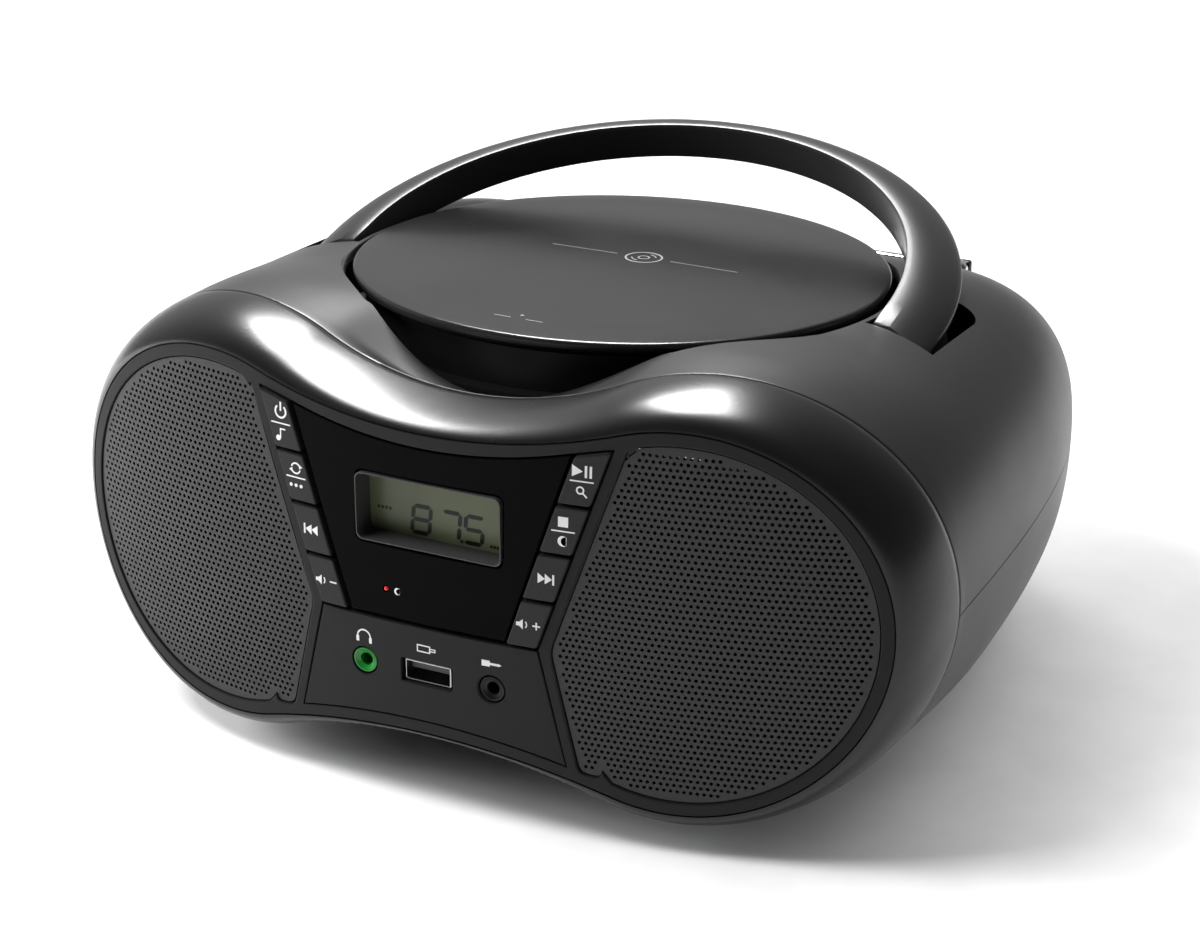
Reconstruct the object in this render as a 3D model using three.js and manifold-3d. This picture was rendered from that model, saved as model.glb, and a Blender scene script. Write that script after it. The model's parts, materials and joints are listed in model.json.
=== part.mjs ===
// Tabletop radio with a disc player, two speakers and a swing handle.
// Lengths in millimetres. X to the right, Z up from the floor, the front faces -Y.
// While building, y = 0 is the middle of the front face; the group is centred at the end.
import * as THREE from "three";
import { mergeVertices } from "three/addons/utils/BufferGeometryUtils.js";
import Module from "manifold-3d";

const wasm = await Module();
wasm.setup();

// ---------- driving dimensions ----------
const DEPTH = 210; // face middle to rear wall
const MID_Y = 104.96; // y of the middle of the whole part, moved to 0 at the end
const JACK_Z = 37.5; // height of the jack row; s = z - JACK_Z
const LOBE_X = 65; // centre of each speaker lobe
const LOBE_Z = 61;
const BEZEL_R = 50.3; // outer edge of the flat front panel around a lobe
const BEZEL_TOP = 40.7; // half heights of that edge at the waist
const BEZEL_BOTTOM = 40.2;
const RING_GROW = 7.1; // how much wider the shell is at the seam
const RING_GROW_TOP = 3.3;
const RING_GROW_BOTTOM = 3.8;
const RING_DEPTH = 21.3; // front ring, face edge to seam
const WALL = 2.6;
const GAP = 0.3;
const SPLIT_Z = 59.5; // upper and lower cabinets meet here
const REAR_END = 211.5; // where the plan curve of the body would close
const FACE = { lean: 0.0095, tall: 0.000308, wide: 14.23, wide4: 1.753 };

const LID = { x: 0, y: 111.4, z: 112.8, r: 73.36, tilt: -2.75 };
const WELL_R = 75.4;
const DECK_R = 70;
const HINGE = { y: 74, h: -4.5 }; // lid hinge, measured on the deck

const HUB = { y: 112, z: 101, r: 16.6 }; // handle pivot and the round of the handle's feet
const POCKET = { r: 76.9, x1: 95.4, y0: 98.4, y1: 136, z: 96.4, round: 9 }; // slot for a handle foot
const SCOOP = { x: 42, deep: 6, at: 0.2 }; // finger scoop in front of the lid
const HINGE_HALF = 11.4; // half width of the lid's hinge tongue
const ARCH = { y: 109, z: 114.1, rise: 13.2, inner: 77.9, side: 92.8, top: 86.6, tall: 10.4 };

const AERIAL = { x: 66, y: 199, z: 94.2, r: 2.2 };

// ---------- helpers ----------
const rad = (d) => (d * Math.PI) / 180;
const lerp = (a, b, t) => a + (b - a) * t;
const clamp01 = (t) => Math.min(1, Math.max(0, t));
const smooth = (t) => clamp01(t) * clamp01(t) * (3 - 2 * clamp01(t));

function solid(geometry) {
  const g = geometry.index ? geometry.toNonIndexed() : geometry.clone();
  g.deleteAttribute("normal");
  g.deleteAttribute("uv");
  const m = mergeVertices(g, 1e-4);
  const made = new wasm.Manifold(
    new wasm.Mesh({
      numProp: 3,
      vertProperties: new Float32Array(m.attributes.position.array),
      triVerts: new Uint32Array(m.index.array),
    }),
  );
  return made;
}

function geometryOf(body) {
  const mesh = body.getMesh();
  const g = new THREE.BufferGeometry();
  const xyz = new Float32Array(mesh.numVert * 3);
  for (let i = 0; i < mesh.numVert; i += 1) {
    xyz[3 * i] = mesh.vertProperties[mesh.numProp * i];
    xyz[3 * i + 1] = mesh.vertProperties[mesh.numProp * i + 1];
    xyz[3 * i + 2] = mesh.vertProperties[mesh.numProp * i + 2];
  }
  g.setAttribute("position", new THREE.BufferAttribute(xyz, 3));
  g.setIndex(new THREE.BufferAttribute(new Uint32Array(mesh.triVerts), 1));
  return g;
}

const add = (...parts) => parts.reduce((a, b) => a.add(b));
const cut = (a, ...parts) => parts.reduce((left, b) => left.subtract(b), a);

function box(x0, x1, y0, y1, z0, z1) {
  const g = new THREE.BoxGeometry(x1 - x0, y1 - y0, z1 - z0);
  g.translate((x0 + x1) / 2, (y0 + y1) / 2, (z0 + z1) / 2);
  return solid(g);
}

// A cylinder from one point to another.
function rod(r, from, to, sides = 20, r2 = r) {
  const a = new THREE.Vector3(...from);
  const b = new THREE.Vector3(...to);
  const along = b.clone().sub(a);
  const g = new THREE.CylinderGeometry(r2, r, along.length(), sides);
  g.translate(0, along.length() / 2, 0);
  const turn = new THREE.Quaternion();
  turn.setFromUnitVectors(new THREE.Vector3(0, 1, 0), along.normalize());
  g.applyQuaternion(turn);
  g.translate(a.x, a.y, a.z);
  return solid(g);
}

// A profile of [radius, height] turned about +Z.
function turned(profile, sides = 32) {
  const pts = profile.map(([r, h]) => new THREE.Vector2(r, h));
  const g = new THREE.LatheGeometry(pts, sides);
  g.rotateX(Math.PI / 2);
  const made = solid(g);
  return made.volume() < 0 ? solid(flipped(g)) : made;
}

function flipped(geometry) {
  const g = mergeVertices(stripped(geometry), 1e-4);
  const order = g.index.array;
  for (let i = 0; i < order.length; i += 3) {
    const keep = order[i + 1];
    order[i + 1] = order[i + 2];
    order[i + 2] = keep;
  }
  return g;
}

function stripped(geometry) {
  const g = geometry.clone();
  g.deleteAttribute("normal");
  g.deleteAttribute("uv");
  return g;
}

function moved(body, position, turn = [0, 0, 0]) {
  const g = geometryOf(body);
  const q = new THREE.Quaternion().setFromEuler(new THREE.Euler(...turn.map(rad), "ZYX"));
  g.applyQuaternion(q);
  g.translate(...position);
  return solid(g);
}

// Deck coordinates: origin on the lid plane at the lid's middle.
const onDeck = (body) => moved(body, [LID.x, LID.y, LID.z], [LID.tilt, 0, 0]);

// ---------- the curved front face ----------
function faceY(x, z) {
  const s = z - JACK_Z;
  const w = (x / 100) * (x / 100);
  return FACE.lean * s + FACE.tall * s * s + FACE.wide * w + FACE.wide4 * w * w;
}

// A slab that follows the face between two depths, over a rectangle.
function slab(y0, y1, x0, x1, z0, z1, cell = 11) {
  const nx = Math.max(1, Math.round((x1 - x0) / cell));
  const nz = Math.max(1, Math.round((z1 - z0) / (cell * 2)));
  const verts = [];
  const at = (side, i, j) => side * (nx + 1) * (nz + 1) + j * (nx + 1) + i;
  for (const off of [y0, y1]) {
    for (let j = 0; j <= nz; j += 1) {
      for (let i = 0; i <= nx; i += 1) {
        const x = lerp(x0, x1, i / nx);
        const z = lerp(z0, z1, j / nz);
        verts.push(x, faceY(x, z) + off, z);
      }
    }
  }
  const faces = [];
  const quad = (a, b, c, d) => faces.push(a, b, c, a, c, d);
  for (let j = 0; j < nz; j += 1) {
    for (let i = 0; i < nx; i += 1) {
      quad(at(0, i, j), at(0, i + 1, j), at(0, i + 1, j + 1), at(0, i, j + 1));
      quad(at(1, i, j), at(1, i, j + 1), at(1, i + 1, j + 1), at(1, i + 1, j));
    }
  }
  for (let i = 0; i < nx; i += 1) {
    quad(at(0, i, 0), at(1, i, 0), at(1, i + 1, 0), at(0, i + 1, 0));
    quad(at(0, i + 1, nz), at(1, i + 1, nz), at(1, i, nz), at(0, i, nz));
  }
  for (let j = 0; j < nz; j += 1) {
    quad(at(0, 0, j + 1), at(1, 0, j + 1), at(1, 0, j), at(0, 0, j));
    quad(at(0, nx, j), at(1, nx, j), at(1, nx, j + 1), at(0, nx, j + 1));
  }
  const g = new THREE.BufferGeometry();
  g.setAttribute("position", new THREE.Float32BufferAttribute(verts, 3));
  g.setIndex(faces);
  return solid(g);
}

// A prism along Y whose outline is drawn in (x, s).
function prism(outline, y0, y1) {
  const shape = new THREE.Shape(outline.map(([x, s]) => new THREE.Vector2(x, s)));
  const g = new THREE.ExtrudeGeometry(shape, { depth: y1 - y0, bevelEnabled: false });
  g.rotateX(Math.PI / 2);
  g.translate(0, y1, JACK_Z);
  return solid(g);
}

// A plate that follows the face, cut to an outline in (x, s).
function facePlate(outline, y0, y1, cell = 11) {
  const xs = outline.map((p) => p[0]);
  const zs = outline.map((p) => p[1] + JACK_Z);
  const [x0, x1] = [Math.min(...xs) - 1, Math.max(...xs) + 1];
  const [z0, z1] = [Math.min(...zs) - 1, Math.max(...zs) + 1];
  return slab(y0, y1, x0, x1, z0, z1, cell).intersect(prism(outline, -30, 70));
}

// ---------- the peanut outline: two lobes and a waist ----------
// Height over the lobe centre at a distance from the middle, for a lobe radius and a waist height.
function waistHeight(x, r, h) {
  const rw = (LOBE_X * LOBE_X + h * h - r * r) / (2 * (r - h));
  const tangent = (LOBE_X * rw) / (r + rw);
  const ax = Math.abs(x);
  if (ax < tangent) return h + rw - Math.sqrt(rw * rw - ax * ax);
  return Math.sqrt(Math.max(0, r * r - (LOBE_X - ax) * (LOBE_X - ax)));
}

const LOBE_STEPS = 12;
const WAIST_STEPS = 6;

// Stations round the outline, from the bottom of the right lobe, counter-clockwise seen from the front.
function stations() {
  const list = [];
  for (let i = 0; i < LOBE_STEPS; i += 1) {
    list.push({ lobe: 1, turn: lerp(-90, 90, i / LOBE_STEPS) });
  }
  for (let i = 0; i < WAIST_STEPS; i += 1) {
    list.push({ lobe: 0, up: 1, x: lerp(LOBE_X, -LOBE_X, i / WAIST_STEPS) });
  }
  for (let i = 0; i < LOBE_STEPS; i += 1) {
    list.push({ lobe: -1, turn: lerp(90, -90, i / LOBE_STEPS) });
  }
  for (let i = 0; i < WAIST_STEPS; i += 1) {
    list.push({ lobe: 0, up: -1, x: lerp(-LOBE_X, LOBE_X, i / WAIST_STEPS) });
  }
  return list;
}

// A point of the front outline: k = 0 at the panel's edge, 1 at the seam; d inwards.
function ringPoint(st, k, d) {
  const r = BEZEL_R + RING_GROW * k - d;
  const top = BEZEL_TOP + RING_GROW_TOP * k - d;
  const bottom = BEZEL_BOTTOM + RING_GROW_BOTTOM * k - d;
  if (st.lobe) {
    const x = LOBE_X + r * Math.cos(rad(st.turn));
    return [st.lobe * x, LOBE_Z + r * Math.sin(rad(st.turn))];
  }
  if (st.up > 0) return [st.x, LOBE_Z + waistHeight(st.x, r, top)];
  return [st.x, LOBE_Z - waistHeight(st.x, r, bottom)];
}

const outlineAt = (k, d) =>
  stations().map((st) => {
    const [x, z] = ringPoint(st, k, d);
    return [x, z - JACK_Z];
  });

// Skins a list of rings of equal length; closed in the ring direction.
function skin(rings, looped, capped = true) {
  const n = rings[0].length;
  const verts = [];
  const faces = [];
  rings.forEach((ring) => ring.forEach((p) => verts.push(...p)));
  const last = looped ? rings.length : rings.length - 1;
  for (let j = 0; j < last; j += 1) {
    const next = (j + 1) % rings.length;
    for (let i = 0; i < n; i += 1) {
      const k = (i + 1) % n;
      const [a, b, c, d] = [j * n + i, j * n + k, next * n + k, next * n + i];
      faces.push(a, b, c, a, c, d);
    }
  }
  if (!looped && capped) {
    for (const [j, flip] of [[0, true], [rings.length - 1, false]]) {
      const mid = [0, 1, 2].map((c) => rings[j].reduce((sum, p) => sum + p[c], 0) / n);
      const hub = verts.length / 3;
      verts.push(...mid);
      for (let i = 0; i < n; i += 1) {
        const [a, b] = [j * n + i, j * n + ((i + 1) % n)];
        if (flip) faces.push(hub, b, a);
        else faces.push(hub, a, b);
      }
    }
  }
  const g = new THREE.BufferGeometry();
  g.setAttribute("position", new THREE.Float32BufferAttribute(verts, 3));
  g.setIndex(faces);
  const made = solid(g);
  return made.volume() < 0 ? solid(flipped(g)) : made;
}

// ---------- front ring ----------
function ringRow(k, d, off) {
  return stations().map((st) => {
    const [x, z] = ringPoint(st, k, d);
    return [x, faceY(x, z) + off, z];
  });
}

function makeRing() {
  const rows = [];
  const steps = 5;
  for (let i = 0; i <= steps; i += 1) {
    const t = rad((90 * i) / steps);
    rows.push(ringRow(Math.sin(t), 0, RING_DEPTH * (1 - Math.cos(t))));
  }
  rows.push(ringRow(1, WALL, RING_DEPTH));
  rows.push(ringRow(0.45, WALL, 5.8));
  rows.push(ringRow(0, 3.4, 5.8));
  rows.push(ringRow(0, 3.4, 3.6));
  rows.push(ringRow(0, 0, 3.6));
  return skin(rows, true);
}

// ---------- rear shell ----------
const lidPlane = (y) => LID.z + (LID.y - y) * Math.tan(rad(-LID.tilt));

function sideSwell(y) {
  const t = clamp01((y - 46) / (REAR_END - 46));
  return 57.2 * Math.pow(Math.max(1e-6, 1 - Math.pow(t, 2.6)), 1 / 3.2);
}

// How far the roof has fallen towards the rear wall.
function roofDrop(y) {
  const u = clamp01((y - 140) / 74);
  return 40 * (1 - Math.sqrt(1 - u * u));
}

function rearRound(y, r) {
  const u = clamp01((y - (DEPTH - r)) / r);
  return r * (1 - Math.sqrt(Math.max(0, 1 - u * u * 0.96)));
}

const scoopAt = (x) => SCOOP.deep * Math.pow(Math.max(0, 1 - (x / SCOOP.x) * (x / SCOOP.x)), 1.5);

// A point of the rear shell's cross-section at depth y; w = 0 at the seam, 1 once the roof is flat.
function shellPoint(st, y, d) {
  const w = smooth((y - 30) / 58);
  const flat = smooth((y - 30) / 40);
  const roof = lidPlane(y) - 1.4 - LOBE_Z - roofDrop(y) - rearRound(y, 6);
  const floor = 57.4 - rearRound(y, 8);
  const seamR = BEZEL_R + RING_GROW;
  const p = lerp(2, 2.35, w);
  const side = sideSwell(y) - d;
  if (st.lobe) {
    const c = Math.cos(rad(st.turn));
    const s = Math.sin(rad(st.turn));
    const high = s > 0 ? lerp(seamR, roof, w) - d : floor - d;
    const x = LOBE_X + side * Math.pow(Math.abs(c), 2 / p);
    return [st.lobe * x, LOBE_Z + high * Math.sign(s) * Math.pow(Math.abs(s), 2 / p)];
  }
  if (st.up > 0) {
    const seam = waistHeight(st.x, seamR, BEZEL_TOP + RING_GROW_TOP);
    const scoop = y < 60 ? scoopAt(st.x) : 0;
    return [st.x, LOBE_Z + lerp(seam, roof, w) - d - scoop];
  }
  const seam = waistHeight(st.x, seamR, BEZEL_BOTTOM + RING_GROW_BOTTOM);
  return [st.x, LOBE_Z - lerp(seam, floor, flat) + d];
}

const SHELL_Y = [52, 70, 90, 115, 140, 160, 176, 190, 200, 206.6, DEPTH];
const INNER_ROWS = [0, 2, 4, 5, 6, 7, 8, 10];

function shellRow(j, d) {
  const off = RING_DEPTH + GAP;
  return stations().map((st) => {
    if (j < 0) {
      const [x, z] = ringPoint(st, 1, d);
      return [x, faceY(x, z) + off, z];
    }
    const y = SHELL_Y[j] - (d > 0 && j === SHELL_Y.length - 1 ? d : 0);
    const [x, z] = shellPoint(st, y, d);
    return [x, y, z];
  });
}

// The row just behind the seam, where the finger scoop reaches its depth.
function scoopRow(d) {
  const seam = shellRow(-1, d);
  const next = shellRow(0, d);
  return stations().map((st, i) => {
    const drop = st.up > 0 ? scoopAt(st.x) * (1 - SCOOP.at) : 0;
    const [x, y, z] = [0, 1, 2].map((c) => lerp(seam[i][c], next[i][c], SCOOP.at));
    return [x, y, z - drop];
  });
}

function makeShell() {
  const rows = [];
  const last = SHELL_Y.length - 1;
  for (const j of INNER_ROWS.slice().reverse()) rows.push(shellRow(j, WALL));
  rows.push(scoopRow(WALL));
  rows.push(shellRow(-1, WALL));
  rows.push(shellRow(-1, 0));
  rows.push(scoopRow(0));
  for (let j = 0; j <= last; j += 1) rows.push(shellRow(j, 0));
  return skin(rows, false);
}

function shellCore() {
  const rows = [shellRow(-1, 0), scoopRow(0.6)];
  for (let j = 0; j < SHELL_Y.length; j += 1) rows.push(shellRow(j, 0.6));
  return skin(rows, false);
}

const shell = makeShell();
const inside = shellCore();

// ---------- handle pockets and hub ----------
function sideBox(side, x0, x1, y0, y1, z0, z1) {
  return side > 0 ? box(x0, x1, y0, y1, z0, z1) : box(-x1, -x0, y0, y1, z0, z1);
}

function pocketBlock(side) {
  const round = HUB.r + 3;
  const outer = sideBox(side, 73, 98.4, HUB.y - round, POCKET.y1 + 2.6, HUB.z - round, 112);
  const well = onDeck(turned([[0, -9], [WELL_R, -9], [WELL_R, 20], [0, 20]], 44));
  return cut(outer.intersect(inside), well);
}

function pocketHole(side) {
  const { x1, y0, y1, z, round } = POCKET;
  const plan = new THREE.Shape();
  plan.moveTo(60, y0);
  plan.lineTo(x1, y0);
  plan.lineTo(x1, y1 - round);
  plan.absarc(x1 - round, y1 - round, round, 0, Math.PI / 2);
  plan.lineTo(60, y1);
  const g = new THREE.ExtrudeGeometry(plan, { depth: 50, bevelEnabled: false, curveSegments: 8 });
  g.translate(0, 0, z);
  if (side < 0) g.scale(-1, 1, 1);
  const slot = solid(side < 0 ? flipped(g) : g);
  const bowl = rod(HUB.r + 0.5, [side * 60, HUB.y, HUB.z], [side * x1, HUB.y, HUB.z], 48);
  return cut(add(slot, bowl), rod(POCKET.r, [0, LID.y, 80], [0, LID.y, 150], 64));
}

function pivotHole(side, r) {
  return rod(r, [side * 70.5, HUB.y, HUB.z], [side * 84.4, HUB.y, HUB.z], 14);
}

// ---------- upper cabinet ----------
function makeTop() {
  let top = shell.intersect(box(-140, 140, 0, 230, SPLIT_Z + GAP / 2, 160));
  const well = onDeck(turned([[0, -30], [WELL_R, -30], [WELL_R, 20], [0, 20]], 44));
  const half = HINGE_HALF + 6.2;
  const notch = onDeck(box(-half, half, 60, 80.6, -16.4, 20));
  top = cut(top, well, notch);
  for (const side of [1, -1]) top = add(top, pocketBlock(side));
  for (const side of [1, -1]) top = cut(top, pocketHole(side), pivotHole(side, 2.3));
  const back = box(-100, 100, 45, 90, -40, 20);
  const collar = turned([[70.6, -14.6], [77, -14.6], [77, -4.6], [70.6, -4.6], [70.6, -14.6]], 44);
  top = add(top, cut(onDeck(collar.intersect(back)), notch));
  const seat = rod(7.4, [AERIAL.x, AERIAL.y, AERIAL.z - 6.4], [AERIAL.x, AERIAL.y, 105], 20);
  const liner = box(AERIAL.x - 10, AERIAL.x + 10, AERIAL.y - 10, AERIAL.y + 10, AERIAL.z - 9.4, AERIAL.z + 9);
  top = add(top, liner.intersect(inside));
  top = cut(top, seat);
  return top;
}

// ---------- lower cabinet ----------
const DOOR = { x: 50, z0: 15, z1: 54 };
const FEET = [
  [-72, 70],
  [72, 70],
  [-62, 182],
  [62, 182],
];
const SCREWS = [
  [-84, 96],
  [84, 96],
  [-76, 160],
  [76, 160],
];

function makeBottom() {
  let body = shell.intersect(box(-140, 140, 0, 230, -10, SPLIT_Z - GAP / 2));
  for (const [x, y] of SCREWS) {
    body = add(body, rod(5.5, [x, y, 7], [x, y, 58], 14));
    body = cut(body, rod(3.9, [x, y, -1], [x, y, 12], 16), rod(2, [x, y, 10], [x, y, 50], 12));
  }
  for (const [x, y] of FEET) body = cut(body, rod(2.3, [x, y, 0], [x, y, 7], 12));
  const doorway = box(-DOOR.x - 0.4, DOOR.x + 0.4, 200, 230, DOOR.z0 - 1, DOOR.z1 + 0.4);
  const inlet = box(61.7, 78.3, 200, 230, 21.7, 32.3);
  return cut(body, doorway, inlet);
}

// ---------- front panel, grilles, lens, buttons, jacks ----------
const OUT = [
  [49.4, 67.8],
  [30.8, 13.1],
  [38.2, -17.8],
];
const IN = [
  [39.5, 65.6],
  [22.1, 13.4],
];
const lineX = (a, b, s) => lerp(a[0], b[0], (s - a[1]) / (b[1] - a[1]));
const outerX = (s) => (s > OUT[1][1] ? lineX(OUT[0], OUT[1], s) : lineX(OUT[1], OUT[2], s));
const innerX = (s) => lineX(IN[0], IN[1], s);
const lensTop = (x) => 60.4 + 5.3 * Math.pow(x / 39.5, 2);
const jackLow = (x) => -13.3 - 4.5 * Math.pow(x / 38.2, 2);
const mirrored = (half) => half.concat(half.slice().reverse().map(([x, s]) => [-x, s]));

function centreOutline(d) {
  const half = [[0.001, jackLow(0) + d]];
  for (const x of [10, 20, 30]) half.push([x, jackLow(x) + d]);
  half.push([OUT[2][0] - d, OUT[2][1] + d]);
  half.push([OUT[1][0] - d, OUT[1][1]]);
  half.push([OUT[0][0] - d, OUT[0][1] - d]);
  half.push([IN[0][0], IN[0][1] - d]);
  for (const x of [30, 20, 10]) half.push([x, lensTop(x) - d]);
  half.push([0.001, lensTop(0) - d]);
  return mirrored(half);
}

function lensOutline(d) {
  const half = [[0.001, IN[1][1] + d]];
  half.push([IN[1][0] - d, IN[1][1] + d]);
  half.push([IN[0][0] - d - 0.4, lensTop(IN[0][0]) - d - 0.3]);
  for (const x of [30, 20, 10]) half.push([x, lensTop(x) - d]);
  half.push([0.001, lensTop(0) - d]);
  return mirrored(half);
}

function jackOutline(d) {
  const half = [[0.001, jackLow(0) + d]];
  for (const x of [10, 20, 30]) half.push([x, jackLow(x) + d]);
  half.push([OUT[2][0] - d, OUT[2][1] + d]);
  half.push([OUT[1][0] - d, OUT[1][1] - d]);
  half.push([0.001, OUT[1][1] - d]);
  return mirrored(half);
}

// One speaker opening: the lobe and the waist edge, cut by the slanted middle.
const GRILLE = { r: 46.6, x: 65.3, inset: 3.7, top: [52.5, 68.9], mid: [33.7, 13.1], low: [41.2, -18.9] };

function grilleOutline(side, d) {
  const pts = [];
  const r = GRILLE.r - d;
  const cs = LOBE_Z - JACK_Z;
  const startA = Math.atan2(GRILLE.low[1] - cs, GRILLE.low[0] + 6 - GRILLE.x);
  const endA = Math.atan2(GRILLE.top[1] - cs, GRILLE.top[0] - GRILLE.x);
  const steps = 22;
  for (let i = 0; i <= steps; i += 1) {
    const a = lerp(startA, endA, i / steps);
    pts.push([GRILLE.x + r * Math.cos(a), cs + r * Math.sin(a)]);
  }
  pts.push([GRILLE.mid[0] + d, GRILLE.mid[1]]);
  pts.push([GRILLE.low[0] + d * 1.2, GRILLE.low[1] + d]);
  const list = side > 0 ? pts : pts.map(([x, s]) => [-x, s]).reverse();
  return list;
}

const DRIVER = { x: 68, z: 61, off: 8.2, r: 30.5, hole: 28 };
const driverTurn = Math.atan(0.215);
// Driver coordinates: +Z out of the speaker's front.
function onDriver(side, body) {
  const g = geometryOf(body);
  g.rotateX(Math.PI / 2);
  g.rotateZ(side * driverTurn);
  g.translate(side * DRIVER.x, faceY(DRIVER.x, DRIVER.z) + DRIVER.off, DRIVER.z);
  return solid(g);
}

function makePanel() {
  let panel = facePlate(outlineAt(0, GAP), 0, 3.2, 16);
  for (const side of [1, -1]) {
    panel = cut(panel, facePlate(grilleOutline(side, 0), -2, 1.9, 16));
    panel = cut(panel, onDriver(side, rod(DRIVER.hole, [0, 0, -20], [0, 0, 20], 24)));
  }
  panel = cut(panel, prism(centreOutline(0), -30, 40));
  return panel;
}

const BUTTON_ROWS = [13.35, 26.4, 39.3, 52.45, 66];
function buttonOutline(side, row, d) {
  const [s0, s1] = [BUTTON_ROWS[row] + d, BUTTON_ROWS[row + 1] - d];
  const low = [innerX(s0) + d, s0];
  const pts = [low, [outerX(s0) - d, s0]];
  if (row === 3) pts.push([OUT[0][0] - d * 1.4, OUT[0][1] - d * 1.3], [IN[0][0] + d, IN[0][1] - d]);
  else pts.push([outerX(s1) - d, s1], [innerX(s1) + d, s1]);
  return side > 0 ? pts : pts.map(([x, s]) => [-x, s]).reverse();
}

function buttonMiddle(row) {
  const s = (BUTTON_ROWS[row] + BUTTON_ROWS[row + 1]) / 2;
  return [(innerX(s) + outerX(s)) / 2, s + JACK_Z];
}

const BOARD_Y = 9.6;
function makeButton(side, row) {
  const cap = facePlate(buttonOutline(side, row, 0.35), -0.9, 1.9, 12);
  const [x, z] = buttonMiddle(row);
  const y = faceY(x, z);
  return add(cap, rod(1.7, [side * x, y + 1, z], [side * x, BOARD_Y - 3.2, z], 8));
}

function makeKeyBoard() {
  const half = [[0.001, 15], [33.2, 15], [36.2, 33], [41.4, 46], [46, 55], [46, 62], [0.001, 62]];
  let board = prism(mirrored(half), BOARD_Y, BOARD_Y + 1.6);
  for (let row = 0; row < 4; row += 1) {
    const [x, z] = buttonMiddle(row);
    for (const side of [1, -1]) {
      const cx = side * x;
      board = add(board, box(cx - 3, cx + 3, BOARD_Y - 1.6, BOARD_Y + 0.1, z - 3, z + 3));
      board = add(board, rod(1.2, [cx, BOARD_Y - 2.1, z], [cx, BOARD_Y, z], 8));
    }
  }
  return cut(board, rod(1.6, [-11.3, BOARD_Y - 1, 58.8], [-11.3, BOARD_Y + 3, 58.8], 12));
}

const WINDOW = { x: 0.7, s: 42.4, w: 41.4, h: 18.7 };
function windowBox(grow, y0, y1) {
  const [hw, hh] = [WINDOW.w / 2 + grow, WINDOW.h / 2 + grow];
  const r = 2.2;
  const shape = [];
  for (const [sx, sz, a] of [[1, 1, 0], [-1, 1, 90], [-1, -1, 180], [1, -1, 270]]) {
    for (let i = 0; i <= 3; i += 1) {
      const t = rad(a + 30 * i);
      shape.push([WINDOW.x + sx * (hw - r) + r * Math.cos(t), WINDOW.s + sz * (hh - r) + r * Math.sin(t)]);
    }
  }
  return prism(shape, y0, y1);
}

function makeLens() {
  let lens = facePlate(lensOutline(0.35), 0, 2, 16);
  lens = cut(lens, windowBox(0, -5, 12));
  return cut(lens, rod(0.95, [-11.3, -3, 58.8], [-11.3, 8, 58.8], 14));
}

function makeLcd() {
  const tray = windowBox(-0.35, 0.9, 9.2);
  const recess = windowBox(-1.2, -3, 8);
  return cut(tray, recess);
}

function makeLed() {
  const tip = rod(0.65, [-11.3, 0.3, 58.8], [-11.3, 6, 58.8], 14);
  return add(tip, rod(1.3, [-11.3, 3.2, 58.8], [-11.3, 12.4, 58.8], 12));
}

const JACKS = { left: -18.2, right: 18.2, r: 3.75 };
function makeJackPanel() {
  let panel = facePlate(jackOutline(0.35), 0, 2.4, 16);
  for (const x of [JACKS.left, JACKS.right]) {
    panel = cut(panel, rod(JACKS.r, [x, -5, JACK_Z], [x, 12, JACK_Z], 20));
  }
  return cut(panel, box(-7.35, 7.35, -5, 12, JACK_Z - 3, JACK_Z + 3.4));
}

function makeJack(x) {
  const y = faceY(x, JACK_Z);
  let jack = add(
    rod(JACKS.r - 0.35, [x, y + 0.3, JACK_Z], [x, y + 7, JACK_Z], 20),
    box(x - 5.5, x + 5.5, y + 3.4, y + 15, JACK_Z - 5.5, JACK_Z + 5.5),
  );
  jack = cut(jack, rod(1.8, [x, -2, JACK_Z], [x, y + 14, JACK_Z], 12));
  return cut(jack, rod(2.9, [x, y - 1, JACK_Z], [x, y + 0.9, JACK_Z], 20, 2));
}

function makeUsb() {
  const [z0, z1] = [JACK_Z - 2.65, JACK_Z + 3.05];
  let socket = box(-6.6, 6.6, 0.9, 16, z0, z1);
  socket = cut(socket, box(-6.2, 6.2, 0, 13, z0 + 0.4, z1 - 0.4));
  return add(socket, box(-5.5, 5.5, 2.4, 13.4, z0 + 2.9, z0 + 4.6));
}

// ---------- speakers ----------
function makeBasket(side) {
  const frame = turned(
    [[26.6, 2], [30.5, 2], [30.5, 0.6], [28.6, 0.4], [20, -12.6], [14, -14.4], [14, -13], [19, -11.2], [26.6, 0.4], [26.6, 2]],
    20,
  );
  return onDriver(side, frame);
}

function makeCone(side) {
  const cone = turned(
    [
      [0, -5],
      [5, -5.8],
      [8, -8],
      [21, -0.6],
      [23.6, 1],
      [25.1, 0.7],
      [25.1, 0.1],
      [23.6, 0.2],
      [20.6, -2],
      [8, -10.4],
      [8, -13],
      [0, -13],
    ],
    20,
  );
  return onDriver(side, cone);
}

function makeMagnet(side) {
  const magnet = turned([[0, -26], [19, -26], [22, -25], [22, -16], [19, -14.8], [0, -14.8]], 16);
  return onDriver(side, magnet);
}

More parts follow.
